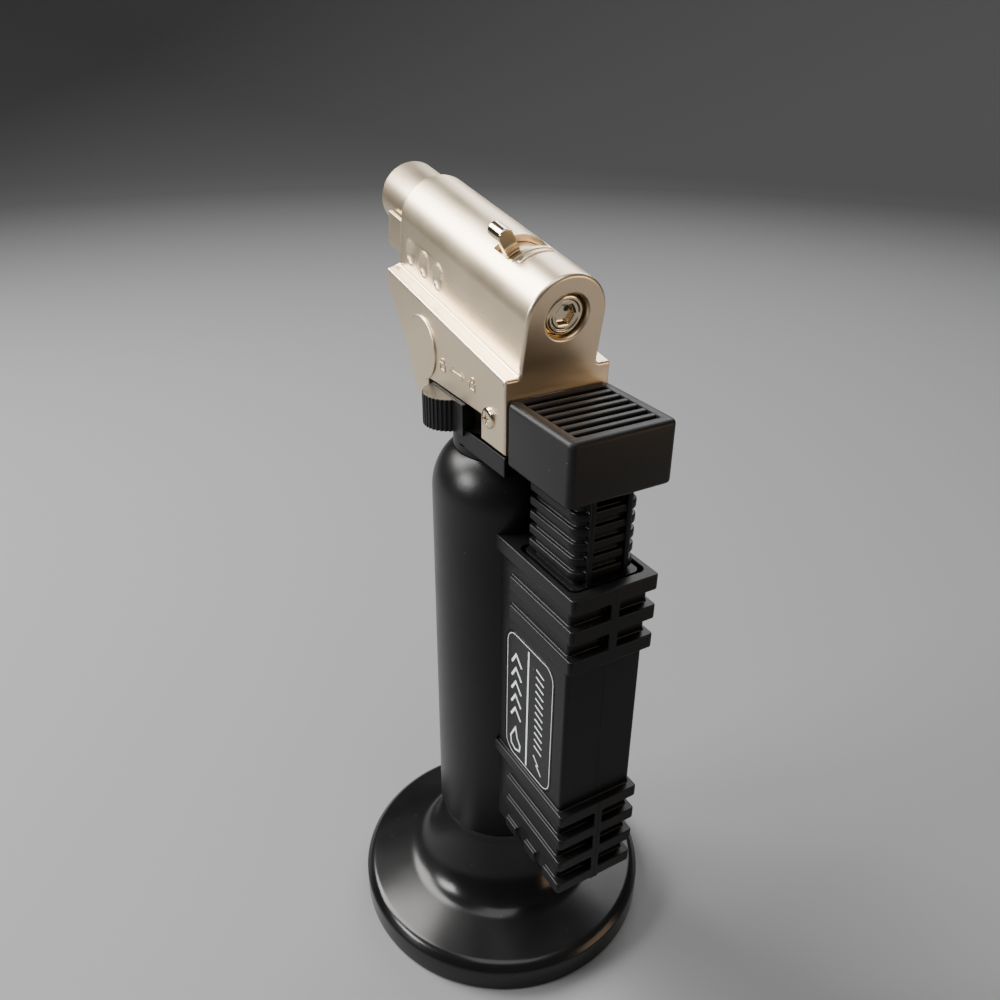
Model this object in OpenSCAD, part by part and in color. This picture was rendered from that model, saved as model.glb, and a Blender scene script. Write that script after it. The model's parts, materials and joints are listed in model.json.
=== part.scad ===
// Bench butane torch: a steel fuel tank in a round stand, a two-half burner head,
// and a side handle that holds the piezo igniter under a push-down trigger.
// X points out of the nozzle, Y to the torch's left, Z up. The origin is the centre
// of the stand's underside, on the tank's axis. All sizes are in millimetres.

/* [Stand] */
// Outer diameter of the stand
stand_d = 71; // [68:0.5:76]
// Height of the stand's vertical rim
stand_rim_h = 7.4; // [6.5:0.1:8]
// Height from the table to the tank's lower edge
stand_h = 28.7; // [28.5:0.1:28.9]

/* [Tank] */
// Outer diameter of the fuel tank
tank_d = 31; // [30.9:0.05:31.1]
// Height at which the tank's shoulder starts
shoulder_z = 116; // [115:0.5:117]
// Wall of the tank
tank_wall = 1.0; // [0.8:0.1:1.2]

/* [Head] */
// Upward tilt of the barrel
barrel_tilt = 10.5; // [10.5:0.1:10.5]
// Outer radius of the barrel's round top
barrel_r = 8.2; // [8.1:0.05:8.4]
// Length of the barrel
barrel_l = 50.4; // [48:0.2:51]
// Half-width over the cheeks
cheek_y = 11.2; // [11.1:0.05:11.4]
// Wall of the head castings
head_wall = 1.5; // [1.3:0.1:1.6]

/* [Burner] */
// Outer radius of the burner tube
burner_r = 6.85; // [6.7:0.05:6.88]
// How far the burner tube stands out of the barrel
burner_out = 12.4; // [8:0.2:14]

/* [Handle] */
// Half-width of the handle's side walls
handle_y = 8.6; // [8.5:0.05:8.8]
// Half-width over the grip ribs
rib_y = 9.5; // [9.2:0.05:9.8]
// Distance of the handle's rear wall behind the tank's axis
handle_back = 37.3; // [37.2:0.1:37.8]
// Distance of the ribs' rear edges behind the tank's axis
rib_back = 39.1; // [38.5:0.1:39.6]

/* [Controls] */
// Number of grooves across the trigger's top
groove_count = 7; // [5:1:7]
// Number of teeth round the lock slider's tab
tab_teeth = 15; // [9:1:17]

/* [Hidden] */
$fn = 72;
eps = 0.01;
fit = 0.05;                      // radial clearance of parts that turn or slide in each other
press = 0.03;                    // radial clearance of parts that are fitted once and stay

// Tank and stand
tank_r = tank_d / 2;
tank_z0 = stand_h;
neck_r = 11;                     // radius of the tank's neck and of the collar on it
shoulder_arc = 12.5;             // radius of the shoulder's curve
shoulder_angle = acos((neck_r - tank_r + shoulder_arc) / shoulder_arc);
neck_z = shoulder_z + shoulder_arc * sin(shoulder_angle);
foot_r = 13;
foot_z0 = 22;
stand_neck_r = 15.2;
stand_top_z = stand_h - 0.05;
flare_r = 10.3;                  // how far the flare spreads
flare_z = 9.8;                   // height of the flare's toe
stand_wall = 2;
refill_hole_r = 8;

// Gas valve on the tank's axis
valve_r = 4;
valve_top_r = 3.2;
valve_z0 = 112;
valve_step_z = 127.9;
valve_top_z = 133.3;
stem_r = 1.2;
outlet_z = 132.5;

// Collar
collar_z0 = neck_z + 0.05;
collar_top = 131.5;
collar_back = 17.6;
pivot_x = -6;                    // rocker's pivot
pivot_z = 134;
leg_screw_x = -12.4;
leg_screw_z = 137.7;

// Head: the barrel's own frame starts at the foot of the head's rear face
face_x = -17.1;
face_z = 142.5;
axis_u = 14;                     // height of the barrel's axis in that frame
ledge_u = 4;                     // height of the cheeks' top edge in that frame
bore_r = 6.95;
plug_u = 14.4;
slot_s = 12.4;
slot_w = 5.2;
slot_half_angle = 39.8;
lever_angle = 30.5;
boss_x = 15.2;
boss_z = 142.9;
boss_r = 6.5;
boss_out = 0.4;                  // how far the round boss stands out of the cheek
dimple_s = 32.5;
dimple_pitch = 6.2;
dimple_u = 8.8;
dimple_r = 3.5;                  // radius of the ball that leaves the dimple
dimple_l = 1.2;
dimple_deep = 0.7;
cheek_low = 137.1;               // lower edge of the cheek above the lock slider
leg_z = 132.2;
leg_front = -9.2;
beak_x = 13;

// Trigger
trig_y = 10.9;
trig_front = -17.98;
trig_back = -38.2;
trig_round = 1.0;
trig_z0 = 130.5;
trig_top = 142.6;
post_y = 6.9;
post_front = -19.7;
post_back = -35.5;
post_round = 2.6;                // rounding of the post's rear corners
post_z0 = 103;
bead_depth = 0.8;                // how far the beads stand out of the post's core
bead_top = 127.2;
bead_pitch = 3.0;
bead_h = 1.7;
bead_count = 5;
fin_y = 3.9;
fin_back = -36.05;
flange_z0 = 110.8;
flange_z1 = 112.5;

// Handle
handle_z0 = 37.4;
handle_top = 112.7;
upper_pitch = 6.68;
lower_rib_z = 60.0;
lower_pitch = 6.52;
rib_h = 3.1;
low_rib_h = 2.7;
rib_front = -17.1;
cav_y = 7.5;
cav_front = -18.7;
cav_back = -36.3;
lead_y = -5;
piezo_x = -28;
screw_spots = [[-21.6, 80], [-27, 47]];
screw_boss_r = 3.4;

// A point given in the barrel's frame (s along it, u up from the rear face's foot)
function at_barrel(s, y, u) =
    [face_x + s * cos(barrel_tilt) - u * sin(barrel_tilt), y,
     face_z + s * sin(barrel_tilt) + u * cos(barrel_tilt)];

// The cheeks' rear edge stands upright below the foot of the barrel's leaning rear face
cheek_back = at_barrel(0, 0, ledge_u)[0];

// ---- shared shapes ----

// Puts children in the barrel's frame: X along the barrel, Z across it
module in_barrel() {
    translate([face_x, 0, face_z]) rotate([0, -barrel_tilt, 0]) children();
}

// A round bar or hole along the barrel from s0 to s1
module along_barrel(s0, s1, r, u = axis_u, y = 0) {
    in_barrel() translate([s0, y, u]) rotate([0, 90, 0]) cylinder(h = s1 - s0, r = r);
}

// A flat outline in the X-Z plane made into a plate from y0 to y1
module side_plate(y0, y1) {
    translate([0, y1, 0]) rotate([90, 0, 0]) linear_extrude(y1 - y0) children();
}

// A rod along Y
module cross_rod(x, z, y0, y1, r) {
    translate([x, y0, z]) rotate([-90, 0, 0]) cylinder(h = y1 - y0, r = r);
}

// A rectangle from two corners with round corners
module round_rect(x0, y0, x1, y1, r) {
    translate([x0 + r, y0]) square([x1 - x0 - 2 * r, y1 - y0]);
    translate([x0, y0 + r]) square([x1 - x0, y1 - y0 - 2 * r]);
    for (x = [x0 + r, x1 - r], y = [y0 + r, y1 - r]) translate([x, y]) circle(r);
}

// A box from its two corners
module box(a, b) {
    translate(a) cube(b - a);
}

// A swept round section along a list of points, with its rings square to the path
function unit(v) = v / norm(v);
function ring_dir(pts, i) = unit(pts[min(i + 1, len(pts) - 1)] - pts[max(i - 1, 0)]);
module swept(pts, r, sides, side_hint = [0, 1, 0]) {
    n = len(pts);
    rings = [for (i = [0:n - 1])
        let (d = ring_dir(pts, i), a = unit(cross(d, side_hint)), b = cross(d, a))
        for (k = [0:sides - 1])
            pts[i] + r * (cos(360 * k / sides) * a + sin(360 * k / sides) * b)];
    // two triangles for each patch of the wall, since its four corners need not lie flat
    walls = [for (i = [0:n - 2], k = [0:sides - 1], half = [0, 1])
        let (m = (k + 1) % sides, here = i * sides, next = here + sides)
        half == 0 ? [here + k, here + m, next + m] : [here + k, next + m, next + k]];
    ends = [[for (k = [sides - 1:-1:0]) k], [for (k = [0:sides - 1]) (n - 1) * sides + k]];
    polyhedron(points = rings, faces = concat(walls, ends), convexity = 6);
}

// A smooth curve through a few hand-set points
function curve_point(p, i, t) =
    let (a = p[max(i - 1, 0)], b = p[i], c = p[i + 1], d = p[min(i + 2, len(p) - 1)])
    0.5 * (2 * b + (c - a) * t + (2 * a - 5 * b + 4 * c - d) * t * t
        + (3 * b - a - 3 * c + d) * t * t * t);
function curve(p, steps) = concat(
    [for (i = [0:len(p) - 2], k = [0:steps - 1]) curve_point(p, i, k / steps)],
    [p[len(p) - 1]]);

// A coil spring of round wire standing on z0
module coil(x, y, z0, z1, r, wire_r, turns) {
    steps = turns * 14;
    pts = [for (i = [0:steps])
        [x + r * cos(360 * turns * i / steps), y + r * sin(360 * turns * i / steps),
         z0 + wire_r + (z1 - z0 - 2 * wire_r) * i / steps]];
    swept(pts, wire_r, 6, [0, 0, 1]);
}

// ---- stand ----

// Half-section of the trumpet, moved inwards by the wall t
function flare(t) = [for (k = [0:14]) let (q = 84 * k / 14)
    [stand_neck_r - t + (flare_r + t) * (1 - cos(q)),
     stand_top_z - (stand_top_z - flare_z + t) * sin(q)]];
rim_r = 1.6;
function rim_curve() = [for (k = [0:5]) let (q = 75 - 75 * k / 5)
    [stand_d / 2 - rim_r + rim_r * cos(q), stand_rim_h - rim_r + rim_r * sin(q)]];

module stand_base() {
    socket_z = foot_z0 - 0.1;
    color("#1b1c1e") difference() {
        rotate_extrude() polygon(concat([[0, stand_top_z]], flare(0), rim_curve(),
            [[stand_d / 2, 0.5], [stand_d / 2 - 0.5, 0], [0, 0]]));
        // hollow under the plate and inside the neck
        rotate_extrude() polygon([
            [0, -1], [stand_d / 2 - stand_wall, -1],
            [stand_d / 2 - stand_wall, stand_rim_h - rim_r - stand_wall + 0.6],
            [stand_neck_r + flare_r, flare_z - stand_wall - 0.6],
            [stand_neck_r + 2.5, flare_z + 0.6], [stand_neck_r - 1.7, flare_z + 6],
            [stand_neck_r - stand_wall, socket_z - 2.2], [0, socket_z - 2.2]]);
        // socket for the tank's foot, and the way through to the refill valve
        translate([0, 0, socket_z]) cylinder(h = 20, r = foot_r + fit);
        cylinder(h = 60, r = refill_hole_r);
    }
}

// ---- tank ----

// The shoulder's curve, moved inwards by t, from the side wall up to the neck
shoulder_steps = 10;
function shoulder(t) = [for (k = [0:shoulder_steps]) let (q = shoulder_angle * k / shoulder_steps)
    [tank_r - shoulder_arc + (shoulder_arc - t) * cos(q), shoulder_z + (shoulder_arc - t) * sin(q)]];

module fuel_tank() {
    inner = shoulder(tank_wall);
    hole_r = valve_r + press;
    color("#232326") rotate_extrude() polygon(concat(
        [[tank_r, tank_z0]], shoulder(0),
        [[hole_r, neck_z], [hole_r, inner[shoulder_steps][1]]],
        [for (k = [shoulder_steps:-1:0]) inner[k]],
        [[tank_r - tank_wall, tank_z0]]));
}

module tank_foot() {
    color("#202022") difference() {
        union() {
            translate([0, 0, foot_z0]) cylinder(h = 8, r = foot_r);
            translate([0, 0, tank_z0]) cylinder(h = 1.4, r = tank_r - tank_wall - 0.02);
        }
        translate([0, 0, foot_z0 - 1]) cylinder(h = 12, r = valve_r + 0.02);
        translate([0, 0, foot_z0 - 1]) cylinder(h = 3, r = 6.5);
    }
}

module tank_bottom_disc() {
    color("#8d8f92") difference() {
        translate([0, 0, 30.15]) cylinder(h = 1.2, r = tank_r - tank_wall - 0.02);
        translate([0, 0, 29]) cylinder(h = 4, r = valve_r + 0.02);
    }
}

module refill_valve_body() {
    color("#b08d4a") difference() {
        translate([0, 0, 24.1]) cylinder(h = 12, r = valve_r);
        translate([0, 0, 24]) cylinder(h = 13, r = stem_r + fit);
        translate([0, 0, 27]) cylinder(h = 8, r = 2.7);
    }
}

module refill_stem() {
    color("#c4a35c") {
        translate([0, 0, 22.6]) cylinder(h = 8, r = stem_r);
        translate([0, 0, 29.2]) cylinder(h = 1.2, r = 2.4);
    }
}

module refill_spring() {
    color("silver") coil(0, 0, 30.5, 34.9, 1.9, 0.25, 4);
}

module refill_seal() {
    color("#2a2a2a") difference() {
        translate([0, 0, 27.05]) cylinder(h = 1.9, r = 2.65);
        translate([0, 0, 26]) cylinder(h = 4, r = stem_r + fit);
    }
}

module fuel_wick() {
    color("#e8e4da") translate([0, 0, 38]) cylinder(h = valve_z0 - 38.1, r = 2.2);
}

// ---- gas valve ----

module neck_gasket() {
    color("#2a2a2a") difference() {
        translate([0, 0, collar_z0]) cylinder(h = 0.8, r = 5.4);
        translate([0, 0, collar_z0 - 1]) cylinder(h = 3, r = valve_r + press);
    }
}

module neck_collar() {
    color("#1c1c1e") difference() {
        union() {
            translate([0, 0, collar_z0]) cylinder(h = collar_top - collar_z0, r = neck_r - 0.05);
            translate([0, 0, 127.6]) linear_extrude(collar_top - 127.6)
                translate([-collar_back, -neck_r + 0.05]) square([collar_back, 2 * neck_r - 0.1]);
            // ears that carry the rocker's pin
            for (y = [-6, 4.2]) box([pivot_x - 2, y, collar_top - eps], [pivot_x + 2, y + 1.8, 136]);
            // blocks that the leg screws go into
            for (y = [-9.6, 6.3]) box([-16.6, y, collar_top - eps], [-10.2, y + 3.3, 141]);
        }
        translate([0, 0, 120]) cylinder(h = 20, r = valve_r + press);
        translate([0, 0, collar_z0 - 1]) cylinder(h = 1.85, r = 5.45);
        translate([0, 0, 128]) cylinder(h = 8, r = 7);
        // room under the rocker's long arm
        box([-collar_back - 1, -3.6, 130.2], [0, 3.6, collar_top + 1]);
        // slot at the front for the flow lever
        intersection() {
            translate([0, 0, 128]) cylinder(h = 2, r = neck_r + 1);
            linear_extrude(140) polygon([[0, 0], [20, -16], [20, 16]]);
        }
        // pivot, leg screws and the ignition lead's way up
        cross_rod(pivot_x, pivot_z, -8, 8, 0.82);
        cross_rod(leg_screw_x, leg_screw_z, -10, 10, 1.02);
        box([-collar_back - 1, lead_y - 1.1, 120], [-15.7, lead_y + 1.1, collar_top + 1]);
    }
}

module valve_body() {
    color("#b08d4a") difference() {
        union() {
            translate([0, 0, valve_z0]) cylinder(h = valve_step_z - valve_z0, r = valve_r);
            translate([0, 0, valve_z0]) cylinder(h = valve_top_z - valve_z0, r = valve_top_r);
            translate([2.2, 0, outlet_z]) rotate([0, 90, 0]) cylinder(h = 5, r = 0.8);
        }
        translate([0, 0, valve_z0 + 1.9]) cylinder(h = 30, r = stem_r + fit);
        translate([0, 0, valve_z0 + 1.9]) cylinder(h = 12, r = 2.7);
        translate([0, 0, valve_z0 - 1]) cylinder(h = 4, r = 0.6);
        translate([0, 0, outlet_z]) rotate([0, 90, 0]) cylinder(h = 9, r = 0.4);
    }
}

module valve_seal() {
    color("#2a2a2a") difference() {
        translate([0, 0, valve_z0 + 1.95]) cylinder(h = 0.9, r = 2.6);
        translate([0, 0, valve_z0]) cylinder(h = 4, r = 0.7);
    }
}

module valve_stem() {
    color("#c4a35c") {
        translate([0, 0, valve_z0 + 3]) cylinder(h = 1.3, r = 2.5);
        translate([0, 0, valve_z0 + 3]) cylinder(h = 136.4 - valve_z0 - 3, r = stem_r);
        translate([0, 0, 134.9]) cylinder(h = 0.8, r = 2.4);
    }
}

module valve_spring() {
    color("silver") coil(0, 0, valve_z0 + 4.4, valve_z0 + 13.6, 1.95, 0.25, 6);
}

module flow_lever() {
    color("#17181a") difference() {
        union() {
            translate([0, 0, 128.25]) cylinder(h = 1.5, r = 6.3);
            box([4, -1.3, 128.25], [13.3, 1.3, 129.75]);
            translate([13.3, 0, 128.25]) cylinder(h = 1.5, r = 1.3);
        }
        translate([0, 0, 120]) cylinder(h = 20, r = valve_top_r + fit);
    }
}

module valve_rocker() {
    color("#9a9ca0") difference() {
        union() {
            box([-16.4, -2.9, 133.35], [-3.4, 2.9, 134.65]);
            for (y = [-2.9, 1.45]) box([-3.5, y, 133.4], [2, y + 1.45, 134.65]);
            cross_rod(pivot_x, pivot_z, -2.9, 2.9, 1.6);
        }
        cross_rod(pivot_x, pivot_z, -5, 5, 0.85);
    }
}

module rocker_pin() {
    color("silver") cross_rod(pivot_x, pivot_z, -6, 6, 0.8);
}

// ---- gas train in the barrel ----

gas_in = at_barrel(7, 0, axis_u - 8.4);
gas_path = [[7.4, 0, outlet_z], [9.4, 0, outlet_z + 0.3], [11.2, 0, 134.6], [11, 0, 138.5],
    [7, 0, 142.6], [0, 0, 144.6], [-7, 0, 145.4], [-10.4, 0, 147.2], gas_in];

module gas_tube() {
    color("#d8d4c8") swept(curve(gas_path, 5), 0.95, 10);
}

module jet_holder() {
    color("#b08d4a") difference() {
        union() {
            along_barrel(2.3, 19.4, 5.8);
            in_barrel() translate([7, 0, axis_u - 8.2]) cylinder(h = 4, r = 0.8);
        }
        along_barrel(1, 8, 2.05, plug_u);
        along_barrel(8.9, 30, 1.55);
        along_barrel(12.6, 30, 3.25);
        in_barrel() translate([14.8, -10, axis_u]) rotate([-90, 0, 0]) cylinder(h = 20, r = 1.4);
        in_barrel() translate([7, 0, axis_u - 9]) cylinder(h = 5, r = 0.4);
    }
}

module jet_orifice() {
    color("#d0b070") difference() {
        along_barrel(9.0, 13.2, 1.5);
        along_barrel(8, 12.4, 0.7);
        along_barrel(8, 14, 0.12);
    }
}

module mixing_tube() {
    color("#a8a9ab") difference() {
        along_barrel(16.8, 52.4, 3.2);
        along_barrel(16, 53, 2.7);
    }
}

module air_sleeve() {
    color("#b9b3a6") difference() {
        along_barrel(11.2, 18.8, bore_r - 0.1);
        along_barrel(11, 19, 5.85);
        // windows that line up with the jet holder's air holes
        in_barrel() translate([14.8, -10, axis_u]) rotate([-90, 0, 0]) cylinder(h = 20, r = 1.6);
    }
}

module air_lever() {
    bar_r = 1.5;
    bar_out = 11.8;              // distance of the finger bar's centre from the barrel's axis
    s0 = slot_s + 0.25;
    color("#c9c6bd") in_barrel() translate([0, 0, axis_u]) rotate([-lever_angle, 0, 0]) {
        // web that stands on the sleeve, and the round finger bar on top of it
        box([s0, -bar_r, bore_r - 0.09], [s0 + 4.2, bar_r - 0.4, bar_out]);
        translate([s0, 0, bar_out]) rotate([0, 90, 0]) cylinder(h = 4.2, r = bar_r);
    }
}

module burner_tube() {
    color("#cfc8ba") difference() {
        along_barrel(44, barrel_l + burner_out, burner_r);
        along_barrel(43, barrel_l + burner_out + 1, burner_r - 0.7);
    }
}

module flame_holder() {
    color("#8f8a80") difference() {
        along_barrel(49, 51, burner_r - 0.72);
        along_barrel(48, 52, 3.22);
        for (k = [0:11]) if (k != 6) in_barrel() translate([48, 0, axis_u]) rotate([30 * k, 0, 0])
            translate([0, 0, 4.7]) rotate([0, 90, 0]) cylinder(h = 4, r = 0.55);
        along_barrel(48, 52, 1.25, axis_u - 4.7);
    }
}

module burner_guard() {
    guard_y = 8.0;
    guard_w = 0.8;
    front = barrel_l + 6.2;
    color("#c7bfae") in_barrel() difference() {
        box([barrel_l + 0.02, -guard_y, 6.3], [front, guard_y, 13.2]);
        box([barrel_l - 1, -guard_y + guard_w, 7.1], [front + 1, guard_y - guard_w, 14]);
        translate([barrel_l - 1, 0, axis_u]) rotate([0, 90, 0]) cylinder(h = 9, r = burner_r + 0.05);
        // round lower front corners
        difference() {
            box([front - 1.6, -10, 6], [front + 1, 10, 7.9]);
            translate([front - 1.6, -11, 7.9]) rotate([-90, 0, 0]) cylinder(h = 22, r = 1.6);
        }
    }
}

module electrode_insulator() {
    color("#f0ece2") difference() {
        along_barrel(30, 53, 1.2, axis_u - 4.7);
        along_barrel(29, 54, 0.42, axis_u - 4.7);
    }
}

module electrode_wire() {
    color("silver") along_barrel(30.2, 57.5, 0.4, axis_u - 4.7);
}

lead_path = [[-23.85, lead_y, 64], [-20.5, lead_y, 64.6], [-17.6, lead_y, 68],
    [-16.9, lead_y, 74], [-16.9, lead_y, 90], [-16.9, lead_y, 106], [-16.9, lead_y, 122],
    [-16.9, lead_y, 132], [-16.6, lead_y, 138], [-15.6, -4.9, 141.2], [-13.6, -4.5, 143.3],
    at_barrel(6.5, -3.2, 0.9), at_barrel(11, -2.4, 2.4), at_barrel(16, -2.4, 4.6),
    at_barrel(22, -1.4, 6.4), at_barrel(26.5, -0.3, 8.6), at_barrel(29.85, 0, axis_u - 4.7)];

module ignition_lead() {
    color("#151515") swept(curve(lead_path, 4), 0.75, 8, [0.1, 1, 0.05]);
}

// ---- head ----

// Side outline of the cheeks: a rear leg, the lock slider's bay and the front beak
module cheek_outline() {
    polygon([[cheek_back, leg_z], [cheek_back, at_barrel(0, 0, ledge_u)[2]],
        [at_barrel(barrel_l - 0.6, 0, ledge_u)[0], at_barrel(barrel_l - 0.6, 0, ledge_u)[2]],
        [31.7, 152.4], [26.6, 145.9], [23, 141], [19.6, 134.9], [18.4, 132.8], [17, 131.8],
        [beak_x, 131.8], [beak_x, cheek_low], [leg_front, cheek_low], [leg_front, leg_z]]);
}

// Side outline of the hollow between the cheeks
module cheek_hollow() {
    t = head_wall;
    polygon([[cheek_back - 2, leg_z - 2], [cheek_back - 2, face_z],
        [at_barrel(t, 0, 0)[0], face_z],
        [at_barrel(t, 0, ledge_u - t)[0], at_barrel(t, 0, ledge_u - t)[2]],
        [at_barrel(barrel_l - 2.6, 0, ledge_u - t)[0],
         at_barrel(barrel_l - 2.6, 0, ledge_u - t)[2]],
        [24.8, 146.2], [17.8, 135.4], [15.4, 131], [15, leg_z - 2]]);
}

// Whole head, both halves together
module head_solid() {
    difference() {
        union() {
            side_plate(-cheek_y, cheek_y) cheek_outline();
            in_barrel() rotate([90, 0, 90]) linear_extrude(barrel_l) {
                translate([0, axis_u]) circle(barrel_r);
                translate([-barrel_r, 1.5]) square([2 * barrel_r, axis_u - 1.5]);
            }
            cross_rod(boss_x, boss_z, -cheek_y - boss_out, cheek_y + boss_out, boss_r);
        }
        difference() {
            side_plate(-cheek_y + head_wall, cheek_y - head_wall) cheek_hollow();
            // posts that the clamp screw runs through
            cross_rod(boss_x, boss_z, -cheek_y, cheek_y, 2.9);
        }
        along_barrel(1.8, barrel_l + 1, bore_r);
        // open way between the barrel's bore and the hollow below
        in_barrel() box([5, -3.4, 1], [barrel_l - 4, 3.4, axis_u]);
        along_barrel(-2, 3, 4.2, plug_u);
        // arc slot for the air lever
        in_barrel() translate([slot_s, 0, axis_u]) rotate([90, 0, 90]) linear_extrude(slot_w)
            intersection() {
                difference() {
                    circle(barrel_r + 2);
                    circle(bore_r - 1);
                }
                polygon([[0, 0], [-14 * sin(slot_half_angle), 14 * cos(slot_half_angle)],
                    [14 * sin(slot_half_angle), 14 * cos(slot_half_angle)]]);
            }
        // three oval finger dimples low on each side of the barrel
        for (k = [0:2], side = [-1, 1]) in_barrel()
            translate([dimple_s + dimple_pitch * k, side * (barrel_r + dimple_r - dimple_deep),
                       dimple_u - dimple_l / 2]) {
                cylinder(h = dimple_l, r = dimple_r);
                sphere(dimple_r);
                translate([0, 0, dimple_l]) sphere(dimple_r);
            }
        cross_rod(leg_screw_x, leg_screw_z, -20, 20, 1.15);
        // clamp screw: clear through the right half, blind in the left
        cross_rod(boss_x, boss_z, -20, 8.5, 1.3);
        cross_rod(boss_x, boss_z, -20, -cheek_y + 0.4, 2.6);
        // the neck collar's front stays clear of the front wall
        translate([0, 0, 120]) cylinder(h = 12.5, r = neck_r + 0.3);
    }
}

module head_shell_left() {
    color("#c9c0ae") intersection() {
        head_solid();
        box([-60, 0, 100], [80, 40, 220]);
    }
}

module head_shell_right() {
    color("#c9c0ae") intersection() {
        head_solid();
        box([-60, -40, 100], [80, 0, 220]);
    }
}

module rear_plug() {
    color("#cdb98e") difference() {
        union() {
            along_barrel(0.7, 2.28, 3.75, plug_u);
            along_barrel(2.2, 7.6, 2.0, plug_u);
        }
        in_barrel() translate([0, 0, plug_u]) rotate([0, 90, 0]) cylinder(h = 2, r = 2.1, $fn = 6);
    }
}

// A pan-head screw along Y: under-head face at y, thread running inwards
module pan_screw(x, z, y, side, head_r, head_h, shank_r, shank_l) {
    mirror([0, side < 0 ? 1 : 0, 0]) difference() {
        union() {
            cross_rod(x, z, y, y + head_h, head_r);
            cross_rod(x, z, y - shank_l, y + eps, shank_r);
        }
        for (a = [0, 90]) translate([x, y + head_h, z]) rotate([0, a, 0])
            cube([head_r * 1.1, head_h * 1.1, 0.5], center = true);
    }
}

module leg_screws() {
    color("#d8cba8") for (side = [-1, 1])
        pan_screw(leg_screw_x, leg_screw_z, cheek_y, side, 2.1, 0.7, 1.0, 4.6);
}

module clamp_screw() {
    color("#d8cba8") pan_screw(boss_x, boss_z, cheek_y - 0.4, -1, 2.4, 1.2, 1.25, 18.4);
}

// ---- lock slider ----

tab_x = 5.2;
tab_y = 10.4;
tab_r = 5.3;
module lock_slider() {
    color("#1e1e20") difference() {
        union() {
            box([-3, 9.35, 131.9], [10.6, cheek_y - 0.04, 136.9]);
            box([-2, 8.4, 131.9], [9.6, 9.45, 138.6]);
            box([-3, cheek_y - 0.05, 130.4], [10.6, 11.75, 136.8]);
            translate([tab_x, tab_y, 130.2]) cylinder(h = 6.6, r = tab_r);
        }
        // the tab stops outside the collar's flat side
        box([-4, 5, 129], [12, 11.15, 131.9]);
        box([-4, 0, 129], [12, 8.4, 139]);
        // fine vertical teeth round the tab
        for (k = [0:tab_teeth - 1]) let (a = 20 + 140 * k / (tab_teeth - 1))
            translate([tab_x + tab_r * cos(a), tab_y + tab_r * sin(a), 129])
                cylinder(h = 9, r = 0.28, $fn = 16);
    }
}

// ---- trigger ----

module trigger_button() {
    color("#26282b") difference() {
        union() {
            translate([0, 0, trig_z0]) linear_extrude(trig_top - trig_z0)
                round_rect(trig_back, -trig_y, trig_front, trig_y, trig_round);
            // tongue that reaches over the valve rocker
            box([trig_front - 1, -2.5, 137.85], [-15, 2.5, 140]);
        }
        // socket for the post, and a rebate along the front of the top
        translate([0, 0, trig_z0 - 1]) linear_extrude(10) post_core(fit);
        box([trig_front - 0.5, -8.6, trig_top - 0.7], [trig_front + 1, 8.6, trig_top + 1]);
        // grip grooves across the top
        for (k = [0:groove_count - 1])
            box([-20.9 - 2.53 * k, -8.6, trig_top - 0.8], [-19.8 - 2.53 * k, 8.6, trig_top + 1]);
    }
}

// The post's core, grown by g
module post_core(g = 0) {
    round_rect(post_back + bead_depth - g, -post_y + bead_depth - g,
        post_front - bead_depth + g, post_y - bead_depth + g, 1.5 + g);
}

// Outline of a bead: well-rounded corners at the back and nearly sharp ones in front
module bead_outline() {
    round_rect(post_back, -post_y, post_front, post_y, post_round);
    round_rect((post_back + post_front) / 2, -post_y, post_front, post_y, 0.8);
}

module trigger_post() {
    color("#222427") difference() {
        union() {
            translate([0, 0, post_z0]) linear_extrude(trig_z0 + 8.8 - post_z0) post_core();
            for (k = [0:bead_count - 1]) translate([0, 0, bead_top - bead_h - bead_pitch * k])
                linear_extrude(bead_h) bead_outline();
            translate([0, 0, flange_z0]) linear_extrude(flange_z1 - flange_z0)
                round_rect(cav_back + 0.15, -cav_y + 0.15, cav_front - 0.15, cav_y - 0.15, 1.5);
            for (y = [-fin_y, fin_y])
                box([fin_back, y - 0.55, flange_z1 - eps], [fin_back + 2, y + 0.55, trig_z0 - 0.1]);
        }
        box([piezo_x - 2.4, -2.4, post_z0 - 1], [piezo_x + 2.4, 2.4, 112.1]);
    }
}

module trigger_spring() {
    color("silver") coil(piezo_x, 0, 95.1, post_z0 - 0.1, 3.9, 0.35, 5);
}

module piezo_case() {
    color("#e9e6dc") difference() {
        box([piezo_x - 3.8, -3.6, 60], [piezo_x + 3.8, 3.6, 95]);
        box([piezo_x - 2.4, -2.4, 70], [piezo_x + 2.4, 2.4, 96]);
    }
}

module piezo_plunger() {
    color("#3a5a9a") box([piezo_x - 2.3, -2.3, 76], [piezo_x + 2.3, 2.3, 112]);
}

module piezo_contact() {
    color("#b08d4a") {
        box([piezo_x + 3.82, -5.8, 63], [piezo_x + 4.1, 2, 67]);
        box([piezo_x + 2, -3.5, 59.8], [piezo_x + 3.9, 2, 59.98]);
        box([piezo_x + 3.82, -3.5, 59.8], [piezo_x + 4.1, 2, 64]);
    }
}

// ---- handle ----

// One grip rib or flange, reaching forward to x1
module grip_rib(z0, z1, x1) {
    translate([0, 0, z0]) linear_extrude(z1 - z0) round_rect(-rib_back, -rib_y, x1, rib_y, 0.8);
}

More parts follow.
